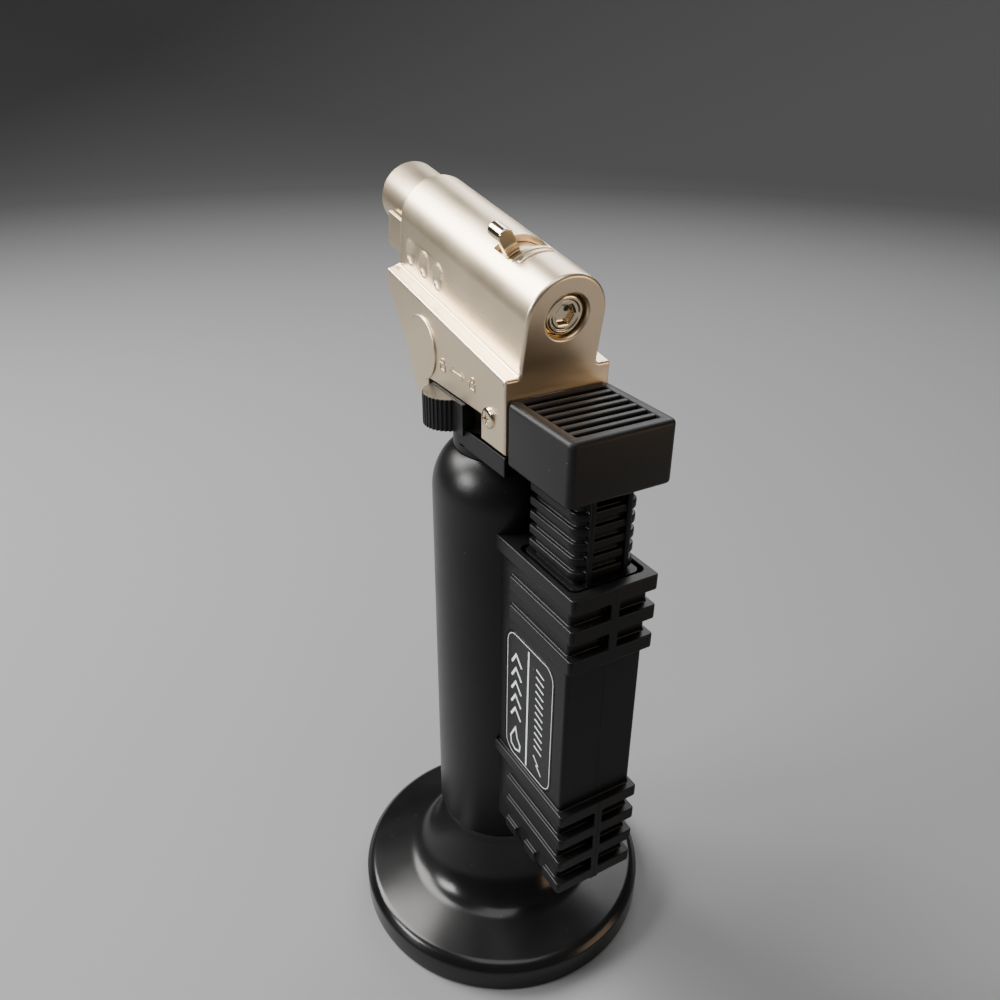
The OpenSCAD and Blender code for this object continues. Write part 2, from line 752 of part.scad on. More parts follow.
module handle_solid() {
    difference() {
        union() {
            translate([0, 0, handle_z0]) linear_extrude(handle_top - handle_z0)
                round_rect(-handle_back, -handle_y, -10, handle_y, 0.8);
            grip_rib(handle_top - 3.3, handle_top, -9);
            for (k = [1, 2]) let (z = handle_top - upper_pitch * k) grip_rib(z - rib_h, z, rib_front);
            grip_rib(lower_rib_z - low_rib_h, lower_rib_z, -9);
            for (k = [1:3]) let (z = lower_rib_z - lower_pitch * k) grip_rib(z - low_rib_h, z, rib_front);
            // upright bar that joins the ribs down the back
            for (z = [[handle_z0, lower_rib_z], [handle_top - 2 * upper_pitch - rib_h, handle_top]])
                box([-rib_back, -0.95, z[0]], [-handle_back + 1, 0.95, z[1]]);
        }
        translate([0, 0, 30]) cylinder(h = 90, r = tank_r + 0.06);
        // lowest rib is broken by two gaps on each side
        for (side = [-1, 1], x = [-25.2, -33])
            translate([0, side < 0 ? -rib_y - 1 : handle_y, 0])
                box([x, 0, handle_z0 - 1],
                    [x + 3.4, rib_y + 1 - handle_y, lower_rib_z - 3 * lower_pitch + 0.4]);
        // hollow, with the shelf and the cradles that hold the igniter left standing
        difference() {
            box([cav_back, -cav_y, 39.4], [cav_front, cav_y, handle_top + 1]);
            box([-34, -8, 56.5], [-22.5, 8, 66]);
            box([-34, -8, 86], [-22.5, 8, 89]);
            for (s = screw_spots) cross_rod(s[0], s[1], -8, 8, screw_boss_r);
        }
        box([piezo_x - 3.85, -3.65, 59.5], [piezo_x + 4.2, 3.65, 95]);
        box([piezo_x + 3.7, lead_y - 1.1, 59.5], [cav_front - 1, 3, 67.5]);
        // wider mouth in the top flange
        translate([0, 0, handle_top - 2.4]) linear_extrude(4) round_rect(-36.7, -8.1, -18.5, 8.1, 1.4);
        // groove for the ignition lead
        box([cav_front - 1.5, lead_y - 1.05, 62], [-15.9, lead_y + 1.05, handle_top + 1]);
        // screws: clear from the right, blind on the left
        for (s = screw_spots) {
            cross_rod(s[0], s[1], -20, 7, 1.3);
            cross_rod(s[0], s[1], -20, -handle_y + 1.3, 2.3);
        }
        // bed for the side label
        side_plate(handle_y - 0.35, handle_y + 1) round_rect(-33.3, 60.2, -15.3, 92.9, 3.4);
    }
}

module handle_shell_left() {
    color("#232528") intersection() {
        handle_solid();
        box([-60, 0, 0], [10, 40, 130]);
    }
}

module handle_shell_right() {
    color("#232528") intersection() {
        handle_solid();
        box([-60, -40, 0], [10, 0, 130]);
    }
}

module handle_screws() {
    color("#6d6f72") for (s = screw_spots)
        pan_screw(s[0], s[1], handle_y - 1.3, -1, 2.2, 1.2, 1.25, 13.2);
}

module side_label() {
    color("#1a1b1e") side_plate(handle_y - 0.35, handle_y - 0.05)
        round_rect(-33.25, 60.25, -15.35, 92.85, 3.35);
}

stand_base();
tank_foot();
tank_bottom_disc();
fuel_tank();
refill_valve_body();
refill_stem();
refill_spring();
refill_seal();
fuel_wick();
neck_gasket();
neck_collar();
valve_body();
valve_seal();
valve_stem();
valve_spring();
flow_lever();
valve_rocker();
rocker_pin();
gas_tube();
jet_holder();
jet_orifice();
mixing_tube();
air_sleeve();
air_lever();
burner_tube();
flame_holder();
burner_guard();
electrode_insulator();
electrode_wire();
ignition_lead();
head_shell_left();
head_shell_right();
rear_plug();
leg_screws();
clamp_screw();
lock_slider();
trigger_button();
trigger_post();
trigger_spring();
piezo_case();
piezo_plunger();
piezo_contact();
handle_shell_left();
handle_shell_right();
handle_screws();
side_label();
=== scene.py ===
# %% [markdown]
# # A bench butane torch
# The torch is a plated burner head on a black fuel tank, with a plastic handle behind it
# and a round stand below. The CAD frame gives every solid its place. Here each part that
# the eye can reach is built again with softened edges and its own finish, and rides on
# the same body as the solid that it stands for.

# %% Load the frame
import json
import math

import bmesh
import bpy
from mathutils import Matrix, Vector


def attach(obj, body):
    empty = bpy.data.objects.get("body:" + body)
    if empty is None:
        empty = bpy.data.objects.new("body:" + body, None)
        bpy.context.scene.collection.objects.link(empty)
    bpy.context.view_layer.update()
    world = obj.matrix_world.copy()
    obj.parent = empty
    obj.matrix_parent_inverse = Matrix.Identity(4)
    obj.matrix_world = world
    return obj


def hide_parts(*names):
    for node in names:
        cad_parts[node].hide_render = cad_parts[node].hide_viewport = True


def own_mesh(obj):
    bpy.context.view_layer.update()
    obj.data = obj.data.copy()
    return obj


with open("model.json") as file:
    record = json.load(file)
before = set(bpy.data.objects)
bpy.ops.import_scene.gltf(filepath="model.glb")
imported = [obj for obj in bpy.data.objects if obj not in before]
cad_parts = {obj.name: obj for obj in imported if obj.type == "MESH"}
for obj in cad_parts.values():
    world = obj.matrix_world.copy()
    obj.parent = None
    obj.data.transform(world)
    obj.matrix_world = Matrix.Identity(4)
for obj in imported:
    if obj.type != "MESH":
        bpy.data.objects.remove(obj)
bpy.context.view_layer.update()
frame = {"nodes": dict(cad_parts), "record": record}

body_of_node = {node: body for body, nodes in frame["record"]["behaviour"]["bodies"].items()
                for node in nodes}
slot_of_node = {row["node"]: row["material_slot"] for row in frame["record"]["subparts"]}

# %% [markdown]
# The frame is in metres, but a maker thinks of a torch in millimetres. Its sizes are written
# in millimetres and multiplied by `MM` when they become geometry. The barrel of the head is
# tilted, so a helper turns a place given along the barrel into a place in the frame.

# %% Sizes and the barrel's own directions
MM = 0.001
TILT = math.radians(10.5)
BARREL_ALONG = Vector((math.cos(TILT), 0, math.sin(TILT)))
BARREL_UP = Vector((-math.sin(TILT), 0, math.cos(TILT)))
BARREL_FOOT = Vector((-17.1, 0, 142.5))
AXIS_UP = 14.0


def mm(*place):
    """A place in millimetres as a vector in metres."""
    return Vector(place) * MM


def on_barrel(along, side, up):
    """A place given along, beside and above the foot of the barrel's rear face, in mm."""
    return BARREL_FOOT + BARREL_ALONG * along + Vector((0, side, 0)) + BARREL_UP * up


def to_barrel(place):
    """The reverse of on_barrel, for a place in mm."""
    d = Vector(place) - BARREL_FOOT
    return d.dot(BARREL_ALONG), place[1], d.dot(BARREL_UP)


BARREL_TURN = Matrix.Translation(BARREL_FOOT) @ Matrix.Rotation(-TILT, 4, "Y")
print("barrel mouth at", [round(x, 1) for x in on_barrel(50.4, 0, AXIS_UP)])

# %% [markdown]
# ## Camera, floor and light
# The camera stands close, behind and above the torch on its left, so that the nearer parts
# look larger than the stand. A pale floor and a few large soft lamps are enough: on satin
# metal and black plastic the size of a lamp decides how long its highlight fades.

# %% Camera
def look_from(place, azimuth, pitch, roll, focal_share):
    """A camera at a place in mm."""
    a, e = math.radians(azimuth), math.radians(pitch)
    back = Vector((math.sin(a) * math.cos(e), -math.cos(a) * math.cos(e), math.sin(e)))
    right = Vector((0, 0, 1)).cross(back).normalized()
    up = back.cross(right)
    r = math.radians(roll)
    turned_right = right * math.cos(r) + up * math.sin(r)
    turned_up = back.cross(turned_right)
    data = bpy.data.cameras.new("camera")
    data.sensor_width = 36
    data.lens = 36 * focal_share
    data.clip_start, data.clip_end = 0.01, 10
    camera = bpy.data.objects.new("camera", data)
    columns = Matrix((turned_right, turned_up, back)).transposed()
    camera.matrix_world = Matrix.Translation(mm(*place)) @ columns.to_4x4()
    bpy.context.scene.collection.objects.link(camera)
    bpy.context.scene.camera = camera
    return camera


camera = look_from((-143.4, 85.0, 202.1), azimuth=239.8, pitch=28.4, roll=0.5,
                   focal_share=0.9)
print("lens", round(camera.data.lens, 1), "mm")

# %% Floor, lamps and the room's light
def soft_lamp(name, place, aim, width, height, power, colour=(1, 1, 1)):
    """A rectangular area lamp. Places and sizes are in metres."""
    data = bpy.data.lights.new(name, "AREA")
    data.shape = "RECTANGLE"
    data.size, data.size_y = width, height
    data.energy = power
    data.color = colour
    lamp = bpy.data.objects.new(name, data)
    lamp.location = place
    lamp.rotation_mode = "QUATERNION"
    lamp.rotation_quaternion = (Vector(aim) - Vector(place)).to_track_quat("-Z", "Y")
    bpy.context.scene.collection.objects.link(lamp)
    return lamp


def make_floor():
    """A pale sweep: a flat floor that curves up into a wall all round, with no horizon."""
    flat, curve, height, steps = 1.1, 0.6, 1.1, 96
    profile = [(flat + curve * math.sin(math.radians(q)),
                curve - curve * math.cos(math.radians(q))) for q in range(0, 91, 9)]
    profile.append((flat + curve, height))
    verts, faces = [], []
    for r, z in profile:
        verts += [(r * math.cos(math.tau * k / steps), r * math.sin(math.tau * k / steps), z)
                  for k in range(steps)]
    faces.append(list(range(steps)))
    for i in range(len(profile) - 1):
        for k in range(steps):
            m = (k + 1) % steps
            faces.append([i * steps + k, (i + 1) * steps + k, (i + 1) * steps + m,
                          i * steps + m])
    mesh = bpy.data.meshes.new("floor")
    mesh.from_pydata(verts, [], faces)
    mesh.polygons.foreach_set("use_smooth", [False] + [True] * (len(mesh.polygons) - 1))
    floor = bpy.data.objects.new("floor", mesh)
    bpy.context.scene.collection.objects.link(floor)
    paper = bpy.data.materials.new("floor_paper")
    paper.use_nodes = True
    shader = paper.node_tree.nodes["Principled BSDF"]
    shader.inputs["Base Color"].default_value = (0.21, 0.212, 0.217, 1)
    shader.inputs["Roughness"].default_value = 0.9
    mesh.materials.append(paper)


make_floor()
HEAD_MIDDLE, TANK_MIDDLE, TANK_LOW = (0, 0, 0.15), (0, 0, 0.12), (0, 0, 0.08)
soft_lamp("key", (0.42, 0.34, 0.66), HEAD_MIDDLE, 0.36, 0.56, 13.0, (1.0, 0.985, 0.96))
soft_lamp("far_right", (0.38, -0.50, 0.62), TANK_LOW, 0.6, 0.5, 4.2)
soft_lamp("overhead", (-0.22, 0.10, 0.85), TANK_LOW, 0.5, 0.5, 2.4)
soft_lamp("left_high", (0.12, 0.60, 0.38), TANK_MIDDLE, 0.22, 0.16, 3.6)
soft_lamp("warm_fill", (-0.55, -0.42, 0.16), TANK_MIDDLE, 0.35, 0.25, 1.0, (1.0, 0.70, 0.44))
world = bpy.data.worlds.new("room")
world.use_nodes = True
background = world.node_tree.nodes["Background"]
background.inputs["Color"].default_value = (0.80, 0.82, 0.85, 1)
background.inputs["Strength"].default_value = 0.12
bpy.context.scene.world = world

# %% [markdown]
# ## Finishes
# Two effects come back in most finishes: a fine surface grain that catches light as bump,
# and a slow unevenness of the gloss where a surface was handled. A third one scatters a few
# pale dust specks over the black plastics. Each is one node group with named inputs, built
# once and placed in a material with that material's values.

# %% Helpers for node trees
def feed(tree, node, inputs):
    """Gives a node's inputs their values, or a link where the value is a socket."""
    for key, value in inputs.items():
        if isinstance(value, bpy.types.NodeSocket):
            tree.links.new(value, node.inputs[key])
        else:
            node.inputs[key].default_value = value
    return node


def add(tree, kind, inputs=None, **settings):
    """Adds a node, sets its properties and feeds its inputs."""
    made = tree.nodes.new(kind)
    for key, value in settings.items():
        setattr(made, key, value)
    return feed(tree, made, inputs or {})


def new_group(name, inputs, outputs):
    """A shader group with number inputs {name: default} and number outputs."""
    tree = bpy.data.node_groups.new(name, "ShaderNodeTree")
    for key, value in inputs.items():
        socket = tree.interface.new_socket(key, in_out="INPUT", socket_type="NodeSocketFloat")
        socket.default_value = value
    for key in outputs:
        tree.interface.new_socket(key, in_out="OUTPUT", socket_type="NodeSocketFloat")
    return tree, add(tree, "NodeGroupInput").outputs, add(tree, "NodeGroupOutput")


def noise(tree, scale, detail):
    """A noise texture on Object coordinates."""
    coords = add(tree, "ShaderNodeTexCoord")
    return add(tree, "ShaderNodeTexNoise", {
        "Vector": coords.outputs["Object"], "Scale": scale, "Detail": detail,
        "Roughness": 0.5}).outputs["Fac"]


def remap(tree, value, low, high, to_low, to_high):
    """Maps a value from one span to another."""
    return add(tree, "ShaderNodeMapRange", {
        "Value": value, "From Min": low, "From Max": high, "To Min": to_low,
        "To Max": to_high}).outputs["Result"]


def multiply(tree, a, b):
    return add(tree, "ShaderNodeMath", {0: a, 1: b}, operation="MULTIPLY").outputs[0]


# %% The three shared effects
def make_grain_group():
    """Height of a fine grain, coarse and fine noise in equal shares."""
    tree, given, outside = new_group("surface_grain", {"Scale": 3000}, ["Height"])
    coarse = noise(tree, given["Scale"], 1)
    fine = noise(tree, multiply(tree, given["Scale"], 2.7), 2)
    mix = add(tree, "ShaderNodeMix", {"Factor": 0.5, "A": coarse, "B": fine},
              data_type="FLOAT")
    feed(tree, outside, {"Height": mix.outputs["Result"]})
    return tree


def make_uneven_group():
    """A gloss that wanders slowly between two roughness values, and the mask it follows."""
    tree, given, outside = new_group("handled_gloss", {"Scale": 60, "Low": 0.3, "High": 0.4},
                                     ["Roughness", "Mask"])
    spread = remap(tree, noise(tree, given["Scale"], 2), 0.32, 0.68, 0, 1)
    rough = remap(tree, spread, 0, 1, given["Low"], given["High"])
    feed(tree, outside, {"Roughness": rough, "Mask": spread})
    return tree


def make_dust_group():
    """A mask of small round specks, few where Amount is small."""
    tree, given, outside = new_group("dust_specks", {"Scale": 900, "Amount": 0.1}, ["Mask"])
    coords = add(tree, "ShaderNodeTexCoord")
    cells = add(tree, "ShaderNodeTexVoronoi", {"Vector": coords.outputs["Object"],
                                               "Scale": given["Scale"]})
    dot = remap(tree, cells.outputs["Distance"], 0.08, 0.17, 1, 0)
    pick = add(tree, "ShaderNodeSeparateColor", {"Color": cells.outputs["Color"]})
    chosen = add(tree, "ShaderNodeMath", {0: pick.outputs["Red"], 1: given["Amount"]},
                 operation="LESS_THAN")
    feed(tree, outside, {"Mask": multiply(tree, dot, chosen.outputs[0])})
    return tree


GRAIN, UNEVEN, DUST = make_grain_group(), make_uneven_group(), make_dust_group()
print("shared effects:", GRAIN.name, UNEVEN.name, DUST.name)

# %% [markdown]
# Every finish is one row of a list: a colour, how glossy it is at its smoothest and its
# dullest, how coarse and how deep its grain is, and how much dust lies on it. Constants go
# straight onto the shader's own sockets, and only what changes over the surface is linked.

# %% One finish maker
SMEAR_SCALE, SPECK_SCALE = 60, 1400
DUST_COLOUR = (0.14, 0.14, 0.135, 1)


def place_group(tree, group, **values):
    """Places a shared effect with this finish's values."""
    return add(tree, "ShaderNodeGroup", {key.title(): value for key, value in values.items()},
               node_tree=group).outputs


def finish(name, colour, gloss, grain, metallic=0.0, tone=0.12, dust=0.0, shine=0.5):
    """A finish. gloss is (lowest, highest roughness), grain is (scale, depth in mm)."""
    material = bpy.data.materials.new(name)
    material.use_nodes = True
    tree = material.node_tree
    uneven = place_group(tree, UNEVEN, scale=SMEAR_SCALE, low=gloss[0], high=gloss[1])
    base = add(tree, "ShaderNodeMix", {
        "Factor": uneven["Mask"], "A": (*[c * (1 - tone) for c in colour], 1),
        "B": (*[min(1, c * (1 + tone)) for c in colour], 1)}, data_type="RGBA")
    if dust:
        specks = place_group(tree, DUST, scale=SPECK_SCALE, amount=dust)
        base = add(tree, "ShaderNodeMix", {
            "Factor": specks["Mask"], "A": base.outputs["Result"], "B": DUST_COLOUR},
            data_type="RGBA")
    height = place_group(tree, GRAIN, scale=grain[0])["Height"]
    bump = add(tree, "ShaderNodeBump", {"Strength": 1.0, "Distance": grain[1] * MM,
                                        "Height": height})
    feed(tree, tree.nodes["Principled BSDF"], {
        "Base Color": base.outputs["Result"], "Roughness": uneven["Roughness"],
        "Normal": bump.outputs["Normal"], "Metallic": metallic, "IOR": 1.5,
        "Specular IOR Level": shine})
    return material


# %% The torch's finishes
METAL = dict(metallic=1.0)
LOOKS = (  # name, colour, gloss, grain, further values
    ("satin_nickel", (0.80, 0.665, 0.48), (0.32, 0.38), (2600, 0.006), METAL | dict(tone=0.03)),
    ("bright_nickel", (0.80, 0.67, 0.48), (0.09, 0.15), (1500, 0.003), METAL | dict(tone=0.04)),
    ("tank_paint", (0.0055, 0.0052, 0.0052), (0.27, 0.33), (4200, 0.026),
     dict(tone=0.2, dust=0.012, shine=0.3)),
    ("stand_plastic", (0.0055, 0.0055, 0.0057), (0.17, 0.25), (1200, 0.004),
     dict(tone=0.2, dust=0.012, shine=0.32)),
    ("collar_plastic", (0.006, 0.006, 0.0062), (0.28, 0.40), (2500, 0.01),
     dict(dust=0.012, shine=0.2)),
    ("control_plastic", (0.008, 0.008, 0.0082), (0.36, 0.48), (2500, 0.012),
     dict(dust=0.012, shine=0.35)),
    ("trigger_plastic", (0.009, 0.0092, 0.0094), (0.38, 0.48), (2200, 0.020),
     dict(dust=0.02, shine=0.26)),
    ("post_plastic", (0.006, 0.0062, 0.0068), (0.28, 0.38), (2500, 0.012),
     dict(dust=0.016, shine=0.18)),
    ("handle_plastic", (0.006, 0.006, 0.0064), (0.27, 0.37), (2400, 0.010),
     dict(dust=0.016, shine=0.2)),
    ("foot_plastic", (0.012, 0.012, 0.0125), (0.4, 0.5), (2500, 0.01), {}),
    ("label_film", (0.005, 0.005, 0.0056), (0.24, 0.34), (1800, 0.004),
     dict(dust=0.012, shine=0.28)),
    ("plain_steel", (0.52, 0.52, 0.53), (0.3, 0.45), (1500, 0.005), METAL | dict(tone=0.08)),
    ("spring_steel", (0.6, 0.6, 0.62), (0.2, 0.3), (1500, 0.002), METAL),
    ("brass", (0.70, 0.53, 0.24), (0.22, 0.36), (1500, 0.004), METAL | dict(tone=0.08)),
    ("seal_rubber", (0.014, 0.014, 0.014), (0.6, 0.75), (2500, 0.01), {}),
    ("lead_rubber", (0.014, 0.014, 0.014), (0.5, 0.6), (2500, 0.006), {}),
    ("wick_fibre", (0.82, 0.80, 0.74), (0.85, 0.95), (1500, 0.06), {}),
    ("tube_plastic", (0.78, 0.76, 0.70), (0.3, 0.4), (1500, 0.003), {}),
    ("white_ceramic", (0.88, 0.86, 0.82), (0.3, 0.45), (2500, 0.006), {}),
    ("piezo_shell", (0.82, 0.79, 0.70), (0.4, 0.5), (2500, 0.008), {}),
    ("piezo_button", (0.05, 0.11, 0.36), (0.4, 0.5), (2500, 0.008), {}))
FINISH = {name: finish(name, *look, **more) for name, *look, more in LOOKS}
PRINT_INK = finish("print_ink", (0.80, 0.82, 0.86), (0.45, 0.6), (2600, 0.004), tone=0.1)
for node, made in frame["nodes"].items():
    made.data.materials.clear()
    made.data.materials.append(FINISH[slot_of_node[node]])
print("finishes:", len(FINISH))

# %% [markdown]
# ## Helpers for pieces
# A piece is a mesh object at the origin. It gets its finish, rides on its body, takes its
# slot's name for the record and hides the solids that it stands for.

# %% Turning a bmesh into a piece
def plain_mesh(name, bm):
    """Writes a bmesh out as a mesh and lets it go."""
    mesh = bpy.data.meshes.new(name)
    bm.to_mesh(mesh)
    bm.free()
    return mesh


def dress(name, mesh, body, slot, stands_for=(), smooth=True, material=None):
    """Makes a mesh a finished piece on a body."""
    mesh.materials.clear()
    mesh.materials.append(material or FINISH[slot])
    mesh.polygons.foreach_set("use_smooth", [smooth] * len(mesh.polygons))
    mesh.update()
    piece = bpy.data.objects.new(name, mesh)
    bpy.context.scene.collection.objects.link(piece)
    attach(piece, body)
    if stands_for:
        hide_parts(*stands_for)
    return piece


def make_piece(name, bm, body, slot, stands_for=(), smooth=True):
    return dress(name, plain_mesh(name, bm), body, slot, stands_for, smooth)


def soften(piece, width, segments=2):
    """Rounds the weighted edges and lets the broad faces keep their own shading."""
    bevel = piece.modifiers.new("rounded_edges", "BEVEL")
    bevel.limit_method = "WEIGHT"
    bevel.width = width * MM
    bevel.segments = segments
    bevel.miter_outer = "MITER_ARC"
    bevel.use_clamp_overlap = False
    even = piece.modifiers.new("even_shading", "WEIGHTED_NORMAL")
    even.keep_sharp = True
    even.weight = 60
    return piece


def solid_copy(node):
    """The CAD node's mesh, welded, with flat regions made into single faces."""
    bm = bmesh.new()
    bm.from_mesh(frame["nodes"][node].data)
    bmesh.ops.remove_doubles(bm, verts=bm.verts, dist=2e-6)
    bmesh.ops.dissolve_degenerate(bm, edges=bm.edges, dist=1e-6)
    bmesh.ops.dissolve_limit(bm, angle_limit=math.radians(0.6), verts=bm.verts,
                             edges=bm.edges, delimit={"NORMAL"})
    return bm


def weigh_edges(bm, rule, widest, sharp_angle=28):
    """Gives each sharp edge the rounding in mm that the rule returns for its middle."""
    layer = bm.edges.layers.float.get("bevel_weight_edge") \
        or bm.edges.layers.float.new("bevel_weight_edge")
    for edge in bm.edges:
        if len(edge.link_faces) != 2 or math.degrees(edge.calc_face_angle(0)) < sharp_angle:
            continue
        a, b = (v.co / MM for v in edge.verts)
        width = rule((a + b) / 2)
        edge[layer] = min(1.0, width / widest)
        if width <= 0:
            edge.smooth = False


def all_edges(width):
    """A rule that rounds every sharp edge by the same width."""
    return lambda mid: width


def rounded_copy(node, rule, widest, segments=2):
    """A softened piece that stands for one CAD node."""
    bm = solid_copy(node)
    weigh_edges(bm, rule, widest)
    piece = make_piece(node + "_piece", bm, body_of_node[node], slot_of_node[node], [node])
    return soften(piece, widest, segments)


def join_rings(bm, rings, closed=False, capped=False):
    """Faces between rings of vertices in order. A ring of one vertex is a closing point."""
    count = max(len(ring) for ring in rings)
    for low, high in zip(rings, rings[1:] + (rings[:1] if closed else [])):
        for k in range(count):
            m = (k + 1) % count
            corners = [low[k % len(low)], low[m % len(low)], high[m % len(high)],
                       high[k % len(high)]]
            unique = list(dict.fromkeys(corners))
            if len(unique) > 2:
                bm.faces.new(unique)
    if capped:
        bm.faces.new(list(reversed(rings[0])))
        bm.faces.new(rings[-1])
    bmesh.ops.recalc_face_normals(bm, faces=bm.faces)
    return bm


print("helpers ready")

# %% [markdown]
# ## Turned parts
# The stand, the tank and the burner tube are round. Each is a profile turned once round an
# axis. The profile is a list of corners, and each corner may have a radius, which is how a
# drawing of a turned part is written.

# %% A lathe
def round_profile(corners, steps):
    """Corners (r, z) or (r, z, radius) as a smooth list of points."""
    points = []
    count = len(corners)
    for i, corner in enumerate(corners):
        here = Vector(corner[:2])
        radius = corner[2] if len(corner) > 2 else 0
        if radius <= 0 or i in (0, count - 1):
            points.append(here)
            continue
        before = (Vector(corners[i - 1][:2]) - here).normalized()
        after = (Vector(corners[i + 1][:2]) - here).normalized()
        half = before.angle(after) / 2
        reach = radius / math.tan(half)
        centre = here + (before + after).normalized() * radius / math.sin(half)
        start, end = here + before * reach - centre, here + after * reach - centre
        for k in range(steps + 1):
            turn = start.slerp(end, k / steps, start).normalized()
            points.append(centre + turn * radius)
    return points


def turned(profile, steps, place=Matrix.Identity(4)):
    """A closed (r, z) profile in mm turned round z, then put in its place."""
    bm = bmesh.new()
    rings = [[bm.verts.new(place @ Vector((r * math.cos(math.tau * k / steps),
                                           r * math.sin(math.tau * k / steps), z)) * MM)
              for k in range(steps)] for r, z in profile]
    return join_rings(bm, rings, closed=True)


def crisp(bm, angle):
    """Marks edges sharper than an angle, so that smooth shading stops there."""
    for edge in bm.edges:
        edge.smooth = edge.calc_face_angle(0) < math.radians(angle)
    return bm


# %% Stand
def stand_profile():
    """The outline of the trumpet, its rim and the hollow below, as (r, z)."""
    neck_r, neck_z, flare_z, flare_angle, steps = 15.2, 28.65, 9.8, 84, 28
    outer = [(13.05, 28.60), (14.7, neck_z), (15.15, 28.35)]
    for k in range(1, steps + 1):
        q = math.radians(flare_angle * k / steps)
        outer.append((neck_r + 10.3 * (1 - math.cos(q)),
                      neck_z - (neck_z - flare_z) * math.sin(q)))
    rim = round_profile([outer[-1], (33.9, 7.86, 3.0), (35.45, 6.2, 1.2),
                         (35.45, 0.6, 0.4), (34.9, 0.05, 0.2), (33.6, 0.05)], steps=8)
    inner = [(33.5, 4.3), (25.4, 7.2), (17.8, 10.4), (13.5, 15.8), (13.2, 19.7), (8.05, 19.7),
             (8.05, 21.85), (13.05, 21.9)]
    return outer + [tuple(p) for p in rim[1:]] + inner


stand = make_piece("stand_turned", crisp(turned(stand_profile(), 192), 30), "stand",
                   "stand_plastic", ["stand_base"])
print("stand faces:", len(stand.data.polygons))

# %% Tank
def tank_profile():
    """A drawn can: straight wall, a long shoulder curve and a flat top with a hole."""
    shoulder_z, centre_r, wall = 116, 3.0, 1.0

    def shoulder(radius, steps):
        return [(centre_r + radius * math.cos(q), shoulder_z + radius * math.sin(q))
                for q in (math.radians(50.2 * k / steps) for k in range(steps + 1))]

    outer = [(14.55, 28.72), (15.2, 28.72), (15.42, 28.85), (15.5, 29.2)] + shoulder(12.5, 24)
    return outer + [(4.04, 125.6), (4.04, 124.85)] + shoulder(12.5 - wall, 12)[::-1]


tank = make_piece("tank_turned", crisp(turned(tank_profile(), 192), 40), "torch",
                  "tank_paint", ["fuel_tank"])
print("tank faces:", len(tank.data.polygons))

# %% [markdown]
# ## The burner head
# The head is two zinc castings, left and right, plated in satin nickel. The CAD halves have
# the true shape but knife edges, and a casting has none. So each half is copied, its edges
# get a rounding by where they lie on the head, and a Bevel turns that into geometry. The
# upright band at the back runs into the leaning rear face, so that bend is laid out as a
# soft curve first.

# %% Where the head's edges lie
BARREL_R, CHEEK_Y, LEDGE_UP, PLUG_UP = 8.2, 11.2, 4.0, 14.4
BOSS = (15.2, 142.9)
LEG_SCREW = (-12.4, 137.7)


def near(value, target, slack=0.06):
    return abs(value - target) < slack


def head_rule(mid):
    """Rounding in mm for one sharp edge of the head."""
    along, side, up = to_barrel(mid)
    out = abs(side)
    from_axis = math.hypot(side, up - AXIS_UP)
    from_boss = math.hypot(mid.x - BOSS[0], mid.z - BOSS[1])
    if out < 0.02:
        return 0
    if out > CHEEK_Y + 0.3:
        return 0.3 if from_boss > 4 else 0.2
    if near(out, CHEEK_Y):
        screw_hole = math.hypot(mid.x - LEG_SCREW[0], mid.z - LEG_SCREW[1]) < 1.5
        return 0 if near(from_boss, 6.5, 0.1) or screw_hole else 0.5
    if near(up, LEDGE_UP) and out > BARREL_R - 0.1:
        return 0.55
    if along < 0.08 and up > LEDGE_UP:
        return 0.55 if math.hypot(side, up - PLUG_UP) < 4.5 else 0.75
    if along > 50.3 and up > LEDGE_UP:
        return 0.6 if from_axis > BARREL_R - 0.1 else 0.25
    if near(from_axis, BARREL_R) and 12.2 < along < 17.8:
        return 0.15
    if 28 < along < 49.5 and 4.5 < up < 14 and out > 6.8:
        return 0.22
    return 0


# %% The soft bend behind the rear face
def soft_bend(bm, reach=2.6, cuts=4):
    """Lays the bend between the upright band and the leaning rear face out as a curve."""
    bend = on_barrel(0, 0, LEDGE_UP)

    def on_rear(v):
        along, side, up = to_barrel(v.co / MM)
        return along < 0.03 and up > LEDGE_UP - 0.03 or near(v.co.x / MM, bend.x, 0.02)

    for k in range(-cuts, cuts + 1):
        if k == 0:
            continue
        faces = [f for f in bm.faces if all(on_rear(v) for v in f.verts)]
        parts = faces + list({e for f in faces for e in f.edges}) \
            + list({v for f in faces for v in f.verts})
        bmesh.ops.bisect_plane(bm, geom=parts, dist=1e-6, plane_no=(0, 0, 1),
                               plane_co=(0, 0, (bend.z + reach * k / cuts) * MM))
    for v in bm.verts:
        step = v.co.z / MM - bend.z
        if abs(step) < reach and on_rear(v):
            v.co.x = (bend.x - math.tan(TILT) * (step + reach) ** 2 / (4 * reach)) * MM
    return bm


for node in ("head_shell_left", "head_shell_right"):
    bm = soft_bend(solid_copy(node))
    weigh_edges(bm, head_rule, 0.75, sharp_angle=19)
    half = soften(make_piece(node + "_cast", bm, "torch", slot_of_node[node], [node]), 0.75, 3)
    print(half.name, len(half.data.polygons), "faces before rounding")

# %% [markdown]
# ## Round heads with a socket
# The adjusting screw at the rear has a hexagon socket, and the other screws have a cross
# recess. Both are turned shapes whose middle isn't round. They are lofted: ring after ring
# with the same number of points, and each ring's radius may change with the angle. A circle,
# a hexagon and a cross then join without any cutting.

# %% Lofted rings
def round_ring(radius):
    return lambda q: radius


def hexagon(radius):
    return lambda q: radius * math.cos(math.pi / 6) / math.cos(q % (math.pi / 3) - math.pi / 6)


def cross(length, half_width):
    def radius(q):
        a = q % (math.pi / 2)
        a = min(a, math.pi / 2 - a)
        limit = math.atan2(half_width, length)
        return length / math.cos(a) if a < limit else half_width / math.sin(a)
    return radius


